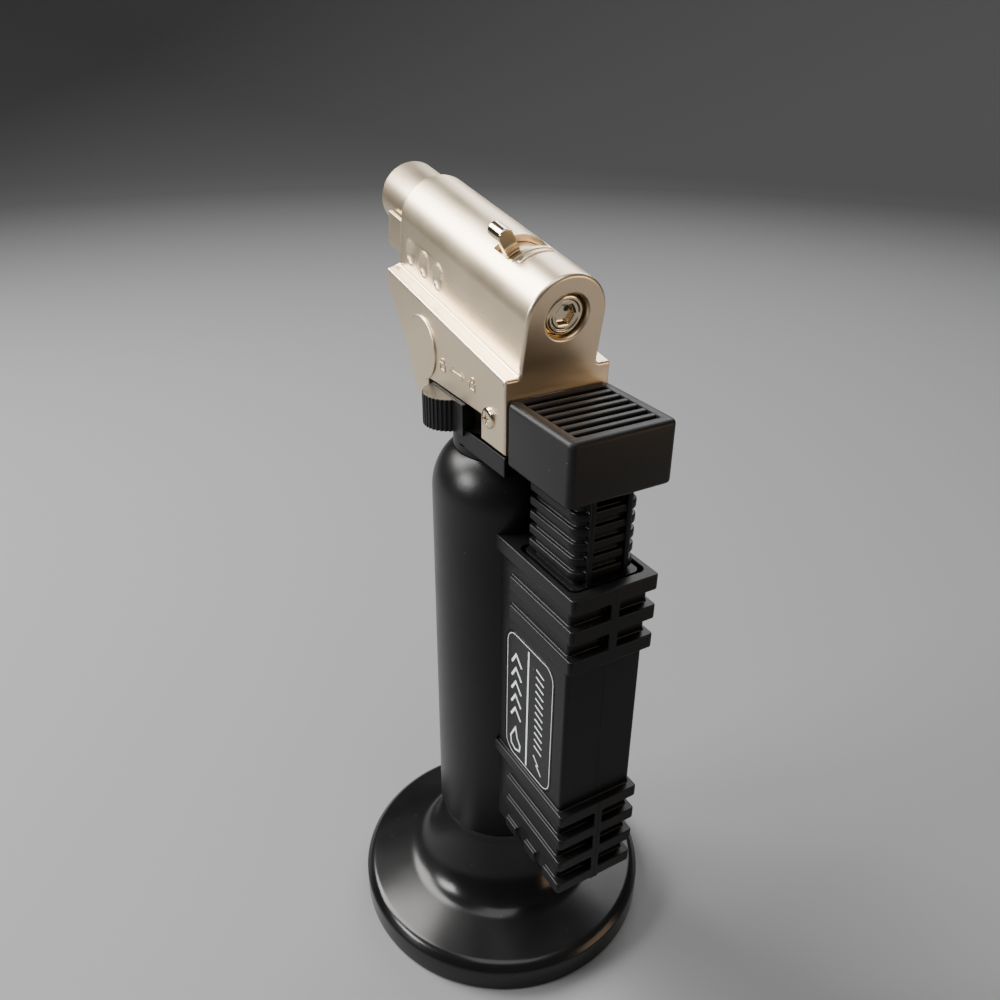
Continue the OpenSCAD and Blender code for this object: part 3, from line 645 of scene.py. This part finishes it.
def lofted(rings, place, steps=96):
    """Rings (height, radius function or None for a closing point), joined in order."""
    bm = bmesh.new()
    loops = []
    for height, radius in rings:
        if radius is None:
            loops.append([bm.verts.new(place(0, 0, height) * MM)])
            continue
        turns = [math.tau * (k + 0.5) / steps for k in range(steps)]
        loops.append([bm.verts.new(place(radius(q) * math.cos(q), radius(q) * math.sin(q),
                                         height) * MM) for q in turns])
    return join_rings(bm, loops)


# %% Rear adjusting screw
plug_rings = [(-7.6, None)]
plug_rings += [(h, round_ring(r)) for h, r in (
    (-7.6, 2.0), (-2.28, 2.0), (-2.28, 3.75), (-1.15, 3.75), (-0.95, 3.69), (-0.80, 3.55),
    (-0.72, 3.35), (-0.70, 3.05), (-0.74, 2.93), (-0.90, 2.84), (-0.93, 2.72),
    (-0.88, 2.60), (-0.86, 2.42))]
plug_rings += [(h, hexagon(r)) for h, r in (
    (-0.92, 2.14), (-1.08, 1.97), (-2.0, 1.93), (-2.08, 1.75))]
plug_rings.append((-2.15, None))
plug = make_piece("rear_plug_turned",
                  crisp(lofted(plug_rings, lambda x, y, h: on_barrel(-h, x, PLUG_UP + y)), 50),
                  "torch", "bright_nickel", ["rear_plug"])
print("adjusting screw:", len(plug.data.polygons), "faces")

# %% [markdown]
# ## Geometry Nodes for what repeats or follows a path
# A tree takes a start mesh and named inputs. `grow` sets the inputs, lets Blender work the
# tree out once and hands back a plain mesh, because an exported model can't keep instances.

# %% Helpers for geometry trees
def geometry_tree(name, inputs):
    """A tree with a geometry, a finish and further inputs {name: (type, value)}."""
    tree = bpy.data.node_groups.new(name, "GeometryNodeTree")
    tree.is_modifier = True
    rows = {"Geometry": ("Geometry", None), "Finish": ("Material", None)} | inputs
    for key, (kind, value) in rows.items():
        socket = tree.interface.new_socket(key, in_out="INPUT", socket_type="NodeSocket" + kind)
        if value is not None:
            socket.default_value = value
    tree.interface.new_socket("Geometry", in_out="OUTPUT", socket_type="NodeSocketGeometry")
    return tree, add(tree, "NodeGroupInput").outputs


def end_tree(tree, given, geometry):
    """Realizes instances, sets the finish and hands the result out."""
    real = add(tree, "GeometryNodeRealizeInstances", {"Geometry": geometry})
    paint = add(tree, "GeometryNodeSetMaterial", {"Geometry": real.outputs["Geometry"],
                                                  "Material": given["Finish"]})
    add(tree, "NodeGroupOutput", {"Geometry": paint.outputs["Geometry"]})
    return tree


def grow(tree, start_mesh, **values):
    """Runs a tree on a start mesh with its inputs set and returns a plain mesh."""
    holder = bpy.data.objects.new("holder", start_mesh)
    bpy.context.scene.collection.objects.link(holder)
    nodes = holder.modifiers.new("nodes", "NODES")
    nodes.node_group = tree
    for item in tree.interface.items_tree:
        key = item.name.lower().replace(" ", "_")
        if item.item_type == "SOCKET" and item.in_out == "INPUT" and key in values:
            nodes[item.identifier] = values[key]
    graph = bpy.context.evaluated_depsgraph_get()
    mesh = bpy.data.meshes.new_from_object(holder.evaluated_get(graph), depsgraph=graph)
    holder.modifiers.clear()
    bpy.data.objects.remove(holder)
    return mesh


def points_mesh(places, chain=False, facing=None):
    """Vertices at places in mm, joined in a chain if asked, with an optional facing each."""
    mesh = bpy.data.meshes.new("points")
    links = [(i, i + 1) for i in range(len(places) - 1)] if chain else []
    mesh.from_pydata([Vector(p) * MM for p in places], links, [])
    if facing:
        layer = mesh.attributes.new("facing", "FLOAT_VECTOR", "POINT")
        layer.data.foreach_set("vector", [c for f in facing for c in f])
    return mesh


# %% A tree that sets screws
def make_screw_tree():
    """Puts a screw on every start point, turned to face that point's facing."""
    tree, given = geometry_tree("set_screws", {"Screw": ("Object", None)})
    screw = add(tree, "GeometryNodeObjectInfo", {"Object": given["Screw"]})
    facing = add(tree, "GeometryNodeInputNamedAttribute", {"Name": "facing"},
                 data_type="FLOAT_VECTOR")
    aim = add(tree, "FunctionNodeAlignRotationToVector",
              {"Vector": facing.outputs["Attribute"]}, axis="Z")
    place = add(tree, "GeometryNodeInstanceOnPoints", {
        "Points": given["Geometry"], "Instance": screw.outputs["Geometry"],
        "Rotation": aim.outputs["Rotation"]})
    return end_tree(tree, given, place.outputs["Instances"])


SCREW_TREE = make_screw_tree()


def cross_screw(head_r, head_h, shank_r, shank_l):
    """A domed screw with a cross recess, standing on its under-head face."""
    rings = [(-shank_l, None), (-shank_l, round_ring(shank_r)), (0, round_ring(shank_r)),
             (0, round_ring(head_r))]
    for k in range(1, 8):
        q = math.pi / 2 * k / 8
        rings.append((head_h * (0.25 + 0.75 * math.sin(q)) if k > 1 else head_h * 0.25,
                      round_ring(head_r * (0.38 + 0.62 * math.cos(q)))))
    top = head_h * 0.98
    rings += [(top, cross(head_r * 0.56, head_r * 0.14)),
              (top - 0.08, cross(head_r * 0.52, head_r * 0.12)),
              (top - 0.55 * head_h - 0.12, cross(head_r * 0.36, head_r * 0.10)),
              (top - 0.55 * head_h - 0.22, None)]
    return crisp(lofted(rings, lambda x, y, h: Vector((x, y, h))), 40)


def set_screws(name, node, spots, facing, head_r, head_h, shank_r, shank_l):
    single = bpy.data.objects.new("one_screw", plain_mesh(
        "one_screw", cross_screw(head_r, head_h, shank_r, shank_l)))
    grown = grow(SCREW_TREE, points_mesh(spots, facing=facing), screw=single,
                 finish=FINISH[slot_of_node[node]])
    bpy.data.objects.remove(single)
    dress(name, grown, body_of_node[node], slot_of_node[node], [node])
    print(name, len(spots), "screws,", len(grown.polygons), "faces")


LEFT, RIGHT = (0, 1, 0), (0, -1, 0)
set_screws("leg_screw_heads", "leg_screws",
           [(LEG_SCREW[0], y, LEG_SCREW[1]) for y in (CHEEK_Y, -CHEEK_Y)], [LEFT, RIGHT],
           2.05, 0.72, 1.0, 4.6)
set_screws("clamp_screw_head", "clamp_screw", [(BOSS[0], -10.8, BOSS[1])], [RIGHT],
           2.35, 1.15, 1.2, 18.4)
set_screws("handle_screw_heads", "handle_screws", [(-21.6, -7.3, 80), (-27, -7.3, 47)],
           [RIGHT, RIGHT], 2.15, 1.15, 1.2, 13.2)

# %% [markdown]
# The coil springs, the gas tube and the ignition lead are each a round section on a path.
# The springs follow a spiral that a node makes, and the other two follow a few listed points
# with a smooth curve through them.

# %% A tree for springs and a tree for tubes
def swept(tree, curve, radius, sides):
    """A round section of a radius and a number of sides, drawn along a curve."""
    ring = add(tree, "GeometryNodeCurvePrimitiveCircle", {"Radius": radius,
                                                          "Resolution": sides})
    return add(tree, "GeometryNodeCurveToMesh", {
        "Curve": curve.outputs["Curve"], "Profile Curve": ring.outputs["Curve"],
        "Fill Caps": True}).outputs["Mesh"]


def make_spring_tree():
    tree, given = geometry_tree("coil_spring", {
        "Turns": ("Float", 5.0), "Radius": ("Float", 0.003), "Height": ("Float", 0.01),
        "Wire Radius": ("Float", 0.0003), "Place": ("Vector", (0, 0, 0))})
    spiral = add(tree, "GeometryNodeCurveSpiral", {
        "Resolution": 28, "Rotations": given["Turns"], "Start Radius": given["Radius"],
        "End Radius": given["Radius"], "Height": given["Height"]})
    move = add(tree, "GeometryNodeTransform", {
        "Geometry": swept(tree, spiral, given["Wire Radius"], 10),
        "Translation": given["Place"]})
    return end_tree(tree, given, move.outputs["Geometry"])


def make_tube_tree():
    tree, given = geometry_tree("tube_on_path", {
        "Tube Radius": ("Float", 0.001), "Rings": ("Int", 80), "Sides": ("Int", 16)})
    line = add(tree, "GeometryNodeMeshToCurve", {"Mesh": given["Geometry"]})
    smooth = add(tree, "GeometryNodeCurveSplineType", {"Curve": line.outputs["Curve"]},
                 spline_type="CATMULL_ROM")
    even = add(tree, "GeometryNodeResampleCurve", {"Curve": smooth.outputs["Curve"],
                                                   "Count": given["Rings"]})
    return end_tree(tree, given, swept(tree, even, given["Tube Radius"], given["Sides"]))


SPRING_TREE, TUBE_TREE = make_spring_tree(), make_tube_tree()

# %% Springs
SPRINGS = (  # node, joint, centre x, low, high, radius, wire radius, turns
    ("trigger_spring", "trigger_press", -28, 95.1, 102.9, 3.9, 0.35, 5),
    ("valve_spring", "stem_lift", 0, 116.4, 125.6, 1.95, 0.25, 6),
    ("refill_spring", "refill_push", 0, 30.5, 34.9, 1.9, 0.25, 4))
for node, joint, x, low, high, radius, wire, turns in SPRINGS:
    mesh = grow(SPRING_TREE, points_mesh([(0, 0, 0)]), finish=FINISH["spring_steel"],
                turns=float(turns), radius=radius * MM, wire_radius=wire * MM,
                height=(high - low - 2 * wire) * MM, place=(x * MM, 0, (low + wire) * MM))
    spring = dress(node + "_coil", mesh, body_of_node[node], "spring_steel", [node])
    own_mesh(spring)
    print(spring.name, len(mesh.polygons), "faces")

# %% Gas tube and ignition lead
GAS_PATH = [(7.4, 0, 132.5), (9.4, 0, 132.8), (11.2, 0, 134.6), (11, 0, 138.5),
            (7, 0, 142.6), (0, 0, 144.6), (-7, 0, 145.4), (-10.4, 0, 147.2),
            on_barrel(7, 0, AXIS_UP - 8.4)]
LEAD_PATH = [(-23.85, -5, 64), (-20.5, -5, 64.6), (-17.6, -5, 68), (-16.9, -5, 74),
             (-16.9, -5, 90), (-16.9, -5, 106), (-16.9, -5, 122), (-16.9, -5, 132),
             (-16.6, -5, 138), (-15.6, -4.9, 141.2), (-13.6, -4.5, 143.3)]
LEAD_PATH += [on_barrel(*p) for p in ((6.5, -3.2, 0.9), (11, -2.4, 2.4), (16, -2.4, 4.6),
                                      (22, -1.4, 6.4), (26.5, -0.3, 8.6),
                                      (29.85, 0, AXIS_UP - 4.7))]
for node, path, radius in (("gas_tube", GAS_PATH, 0.95), ("ignition_lead", LEAD_PATH, 0.75)):
    mesh = grow(TUBE_TREE, points_mesh(path, chain=True), finish=FINISH[slot_of_node[node]],
                tube_radius=radius * MM, rings=120)
    dress(node + "_swept", mesh, body_of_node[node], slot_of_node[node], [node])
    print(node, len(mesh.polygons), "faces")

# %% [markdown]
# ## Nozzle end and air lever
# The burner tube is a plain turned tube with a softened lip. The air lever is a round finger
# bar on a flat web: the web is an outline with a round top, and the bar is a loft with
# rounded ends. Both stand in the barrel's own directions.

# %% Burner tube and guard
BARREL_AXIS = BARREL_TURN @ Matrix.Translation((0, 0, AXIS_UP)) @ Matrix.Rotation(
    math.pi / 2, 4, "Y")
tube_profile = round_profile([(6.15, 44), (6.85, 44), (6.85, 62.8, 0.3), (6.15, 62.8, 0.25),
                              (6.15, 44)], 4)[:-1]
burner = make_piece("burner_tube_turned",
                    crisp(turned(tube_profile, 128, BARREL_AXIS), 40), "torch",
                    "satin_nickel", ["burner_tube"])
print("burner tube:", len(burner.data.polygons), "faces")

guard = rounded_copy("burner_guard", all_edges(0.18), 0.18, 2)
print("guard:", len(guard.data.polygons), "faces")

# %% Air lever
LEVER_TURN = math.radians(30.5)


def on_lever(along, side, out):
    """A place on the air lever: along the barrel, beside the web, out from the axis."""
    return on_barrel(along, side * math.cos(LEVER_TURN) + out * math.sin(LEVER_TURN),
                     AXIS_UP + out * math.cos(LEVER_TURN) - side * math.sin(LEVER_TURN))


def lever_mesh(start=12.65, length=4.2, bar_r=1.5, bar_out=11.8, foot_out=6.86):
    """The finger bar, and the web that carries it from the sleeve below."""
    rings = [(0, None)]
    rings += [(h, round_ring(bar_r * share)) for share, h in (
        (0.86, 0), (0.96, 0.06), (1, 0.22), (1, length - 0.25), (0.96, length - 0.07),
        (0.86, length))]
    rings.append((length, None))
    bm = lofted(rings, lambda x, y, h: on_lever(start + h, x, bar_out + y), 48)
    web_r = bar_r - 0.05
    outline = [(-web_r, foot_out), (bar_r - 0.4, foot_out), (web_r, bar_out)]
    outline += [(web_r * math.cos(math.radians(q)), bar_out + web_r * math.sin(math.radians(q)))
                for q in range(15, 181, 15)]
    sides = [[bm.verts.new(on_lever(start + h, x, y) * MM) for x, y in outline]
             for h in (-0.05, 1.35)]
    return join_rings(bm, sides, capped=True)


lever_bm = lever_mesh()
weigh_edges(lever_bm, all_edges(0.1), 0.1, 50)
lever = soften(make_piece("air_lever_bar", lever_bm, "air", "bright_nickel", ["air_lever"]),
               0.1, 2)
print("air lever:", len(lever.data.polygons), "faces")

# %% [markdown]
# ## Moulded parts
# The collar, the slider, the trigger, its post and the handle are injection mouldings. A
# moulding's edges are small but never sharp, and the thin bright line along each rib is the
# light on that rounding. So each is a rounded copy with a rule of its own.

# %% Collar, slider, flow lever
rounded_copy("neck_collar", all_edges(0.25), 0.25, 2)
rounded_copy("flow_lever", all_edges(0.18), 0.18, 2)


def slider_rule(mid):
    """The teeth round the tab are finer than the rest."""
    on_teeth = math.hypot(mid.x - 5.2, mid.y - 10.4) > 4.9 and mid.y > 11.0
    return 0.07 if on_teeth else 0.2


rounded_copy("lock_slider", slider_rule, 0.2, 2)
print("collar, flow lever and slider made")

# %% [markdown]
# The trigger block is a rounded box with a bed of cross bars in its top and a socket for the
# post below. It is lofted from rounded rectangles: up out of the socket, round the lower
# edge, up the walls, over the upper edge and down into the bed. The bars are one bar set in
# a row.

# %% Trigger block
def arc(centre, radius, start, end, steps):
    """Points round a centre, from a start to an end angle in degrees."""
    turns = [math.radians(start + (end - start) * k / steps) for k in range(steps + 1)]
    return [(centre[0] + radius * math.cos(q), centre[1] + radius * math.sin(q))
            for q in turns]


def rounded_box(box, r, steps):
    """The outline of a rectangle (x0, y0, x1, y1) with corners of radius r."""
    x0, y0, x1, y1 = box
    return (arc((x1 - r, y1 - r), r, 0, 90, steps) + arc((x0 + r, y1 - r), r, 90, 180, steps)
            + arc((x0 + r, y0 + r), r, 180, 270, steps)
            + arc((x1 - r, y0 + r), r, 270, 360, steps))


def rectangle_ring(box, r, z):
    """The same outline at height z, in mm."""
    return [(x, y, z) for x, y in rounded_box(box, r, 6)]


def inset(box, d, front=None):
    """A rectangle moved inwards by d, and by less at its front side if asked."""
    return box[0] + d, box[1] + d, box[2] - (d if front is None else min(d, front)), box[3] - d


def stacked(rings, bm=None):
    """Rings of points in mm joined in order, with both ends closed."""
    bm = bm or bmesh.new()
    loops = [[bm.verts.new(Vector(p) * MM) for p in ring] for ring in rings]
    return join_rings(bm, loops, capped=True)


def quarter(radius, steps=5):
    """Pairs (inset, rise) round a quarter circle, from the wall inwards."""
    return [(radius - x, y) for x, y in arc((0, 0), radius, 0, 90, steps)]


BLOCK = (-38.2, -10.9, -17.98, 10.9)
BLOCK_LOW, BLOCK_TOP = 130.5, 142.6
POST_CORE = (-34.75, -6.15, -20.45, 6.15)
BED = (-36.08, -8.6, -19.8, 8.6)
BED_DEEP, SOCKET_TOP = 0.85, 139.45
CORNER, CORE_CORNER, BED_CORNER = 1.3, 1.55, 0.3
LOW_EDGE, TOP_EDGE, BED_EDGE = 0.75, 0.95, 0.15
rings = [rectangle_ring(POST_CORE, CORE_CORNER, z) for z in (SOCKET_TOP, BLOCK_LOW)]
rings += [rectangle_ring(inset(BLOCK, d), CORNER - d, BLOCK_LOW + LOW_EDGE - rise)
          for d, rise in reversed(quarter(LOW_EDGE))]
rings += [rectangle_ring(inset(BLOCK, d, 0.1), CORNER - d, BLOCK_TOP - TOP_EDGE + rise)
          for d, rise in quarter(TOP_EDGE)]
rings += [rectangle_ring(inset(BED, -d), BED_CORNER + d, BLOCK_TOP - BED_EDGE + rise)
          for d, rise in reversed(quarter(BED_EDGE, 3))]
rings.append(rectangle_ring(BED, BED_CORNER, BLOCK_TOP - BED_DEEP))
block_bm = crisp(stacked(rings), 40)
tongue = [[(x, y, z) for y, z in ((-2.5, 137.85), (2.5, 137.85), (2.5, 140), (-2.5, 140))]
          for x in (-18.5, -15.0)]
stacked(tongue, block_bm)
trigger = make_piece("trigger_block", block_bm, "trigger", "trigger_plastic",
                     ["trigger_button"])
print("trigger:", len(trigger.data.polygons), "faces")

# %% A tree for rows, and the bars
def make_row_tree():
    tree, given = geometry_tree("even_row", {
        "Count": ("Int", 5), "Step": ("Vector", (0, 0, 0))})
    line = add(tree, "GeometryNodeMeshLine", {"Offset": given["Step"],
                                              "Count": given["Count"]})
    place = add(tree, "GeometryNodeInstanceOnPoints", {"Points": line.outputs["Mesh"],
                                                       "Instance": given["Geometry"]})
    return end_tree(tree, given, place.outputs["Instances"])


ROW_TREE = make_row_tree()


BAR_COUNT, BAR_STEP, BAR_WIDE, BAR_EDGE = 6, 2.53, 1.43, 0.42


def trigger_bar(first_x=-22.33, half_length=8.58, sunk=0.02):
    """One bar of the bed, with a well rounded top."""
    outline = [(0, -BED_DEEP), (0, -BAR_EDGE)]
    outline += [(BAR_EDGE - BAR_EDGE * math.cos(q), -BAR_EDGE + BAR_EDGE * math.sin(q))
                for q in (0.4, 0.8, 1.2, math.pi / 2)]
    outline += [(BAR_WIDE - x, z) for x, z in reversed(outline)]
    ends = [[(first_x + x, y, BLOCK_TOP + z - sunk) for x, z in outline]
            for y in (-half_length, half_length)]
    return plain_mesh("bar", crisp(stacked(ends), 40))


bars = grow(ROW_TREE, trigger_bar(), finish=FINISH["trigger_plastic"], count=BAR_COUNT,
            step=(-BAR_STEP * MM, 0, 0))
dress("trigger_bars", bars, "trigger", "trigger_plastic")
print("bars:", len(bars.polygons), "faces")

# %% Post
HANDLE_TOP = 112.7


def post_rule(mid):
    """All but the flange at the foot, whose outline is only a hair outside the fins."""
    return 0.3 if mid.z > HANDLE_TOP else 0.04


post = rounded_copy("trigger_post", post_rule, 0.3, 3)
print("post:", len(post.data.polygons), "faces")

# %% Handle
HOLLOW_BACK, HOLLOW_FRONT, HOLLOW_HALF = -36.4, -18.6, 7.6


def handle_rule(mid):
    """The ribs, the walls and the mouth are rounded, the hollow inside isn't."""
    on_top = mid.z > HANDLE_TOP - 0.1
    if abs(mid.y) < 0.02:
        return 0.06 if mid.x < -37.2 or (mid.x < -18 and on_top) else 0
    inside = abs(mid.y) < HOLLOW_HALF and HOLLOW_BACK < mid.x < HOLLOW_FRONT
    against_tank = math.hypot(mid.x, mid.y) < 15.7
    if inside or against_tank:
        return 0.15 if on_top else 0
    return 0.3


for node in ("handle_shell_left", "handle_shell_right"):
    half = rounded_copy(node, handle_rule, 0.3, 3)
    print(half.name, len(half.data.polygons), "faces before rounding")

# %% [markdown]
# ## Marks
# Each cheek carries a raised mark for the lock slider, the barrel one for the air lever, and
# the handle a printed label. All are strokes: a flat ribbon along a line of points, with a
# little thickness so that it is a closed solid. The marks are plain pictograms.

# %% Strokes
def stroke(bm, points, width, place, low, high, closed=False):
    """A ribbon of even width along flat points, from height low to high over a surface."""
    count = len(points)
    flat = [Vector(p) for p in points]
    rails = []
    for i, here in enumerate(flat):
        before = flat[i - 1] if (i or closed) else None
        after = flat[(i + 1) % count] if (i < count - 1 or closed) else None
        a = (here - before).normalized() if before is not None else None
        b = (after - here).normalized() if after is not None else None
        a, b = a or b, b or a
        middle = (a + b).normalized()
        side = Vector((-middle.y, middle.x))
        reach = width / 2 / max(0.35, side.dot(Vector((-a.y, a.x))))
        rails.append([bm.verts.new(place(*(here + side * s * reach), h) * MM)
                      for s, h in ((1, low), (1, high), (-1, high), (-1, low))])
    join_rings(bm, rails, closed=closed, capped=not closed)


def padlock(x, z, is_open):
    """Strokes of a padlock: a body and a shackle, which stops short when it is open."""
    half, base, lid, hoop = 1.0, z - 1.15, z + 0.15, 0.62
    body = [(x - half, base), (x + half, base), (x + half, lid), (x - half, lid)]
    shackle = [(x - hoop, lid)] + arc((x, lid + 0.4), hoop, 180, 0, 8)
    if not is_open:
        shackle.append((x + hoop, lid))
    return [(body, True), (shackle, False)]


# %% Lock mark on both cheeks
def cheek_marks(name, side, z=142.0):
    """An open and a closed padlock with a two-ended arrow between them."""
    bm = bmesh.new()
    place = lambda x, z, h: Vector((x, side * (CHEEK_Y + h), z))
    parts = padlock(6.0, z, True) + padlock(-6.0, z, False) + [([(2.6, z), (-2.6, z)], False)]
    parts += [([(s * 1.6, z + 0.8), (s * 2.7, z), (s * 1.6, z - 0.8)], False) for s in (1, -1)]
    for points, closed in parts:
        stroke(bm, points, 0.3, place, -0.1, 0.14, closed)
    make_piece(name, bm, "torch", "satin_nickel", smooth=False)


cheek_marks("lock_mark_left", 1)
cheek_marks("lock_mark_right", -1)

# %% Air mark on the barrel
def on_shell(angle, along, height):
    """A place on the barrel's round top, angle in degrees from straight up to the left."""
    q = math.radians(angle)
    r = BARREL_R + height
    return on_barrel(along, r * math.sin(q), AXIS_UP + r * math.cos(q))


def wedge_mark():
    """A wedge that gets thinner as the air closes, with a thin line beside it."""
    bm = bmesh.new()
    wide, blunt, steps = 0.62, 0.08, 40
    rails = []
    for k in range(steps + 1):
        t = k / steps
        half = wide * (1 - t) ** 0.8 + 0.07
        if t < blunt:
            half *= math.sqrt(max(0.02, 1 - ((blunt - t) / blunt) ** 2))
        rails.append([bm.verts.new(on_shell(36 - 52 * t, 9.95 + s * half * 0.9, h) * MM)
                      for s, h in ((1, -0.1), (1, 0.2), (-1, 0.2), (-1, -0.1))])
    join_rings(bm, rails, capped=True)
    line = [(40 - 58 * k / 30, 11.25) for k in range(31)]
    stroke(bm, line, 0.26, on_shell, -0.1, 0.16)
    return bm


mark_bm = wedge_mark()
weigh_edges(mark_bm, all_edges(0.07), 0.07, 40)
soften(make_piece("air_mark", mark_bm, "torch", "satin_nickel"), 0.07, 2)
print("marks on the head made")

# %% [markdown]
# The label is a black film in a shallow bed, printed in pale ink. Its ticks and chevrons are
# one stroke each, set in a row by a tree with the row's count and pitch as inputs.

# %% Label and its print
LABEL_Y = 8.55
on_label = lambda x, z, h: Vector((x, LABEL_Y + h, z))
rounded_copy("side_label", all_edges(0.05), 0.05, 2)


def print_piece(name, strokes, width, count=1, pitch=0.0):
    """Ink strokes on the label, repeated upwards if a count is given."""
    bm = bmesh.new()
    for points, closed in strokes:
        stroke(bm, points, width, on_label, -0.02, 0.025, closed)
    mesh = plain_mesh(name, bm)
    if count > 1:
        mesh = grow(ROW_TREE, mesh, finish=PRINT_INK, count=count, step=(0, 0, pitch * MM))
    return dress(name, mesh, "torch", "label_film", smooth=False, material=PRINT_INK)


BIG_X, SMALL_X = -19.5, -28.2
print_piece("label_frame", [(rounded_box((-32.75, 60.75, -15.85, 92.35), 3.0, 8), True)], 0.14)
print_piece("label_line", [([(-23.9, 61.4), (-23.9, 91.4)], False)], 0.5)
flame = [(BIG_X - 1.7, 63.0), (BIG_X - 1.9, 64.6), (BIG_X - 0.7, 66.0), (BIG_X, 68.4),
         (BIG_X + 0.9, 66.8), (BIG_X + 1.9, 64.9), (BIG_X + 1.6, 63.0), (BIG_X, 62.3)]
print_piece("label_flame", [(flame, True)], 0.42)
print_piece("label_chevrons", [([(BIG_X - 1.9, 71.4), (BIG_X + 0.3, 73.6),
                                 (BIG_X + 1.9, 71.0)], False)], 0.56, 5, 3.5)
print_piece("label_spark", [([(SMALL_X - 1.5, 63.0), (SMALL_X + 0.3, 64.6),
                              (SMALL_X - 0.3, 65.0), (SMALL_X + 1.5, 66.6)], False)], 0.34)
print_piece("label_ticks", [([(SMALL_X - 1.4, 68.6), (SMALL_X + 1.4, 69.3)], False)],
            0.34, 12, 1.8)
print("label printed")
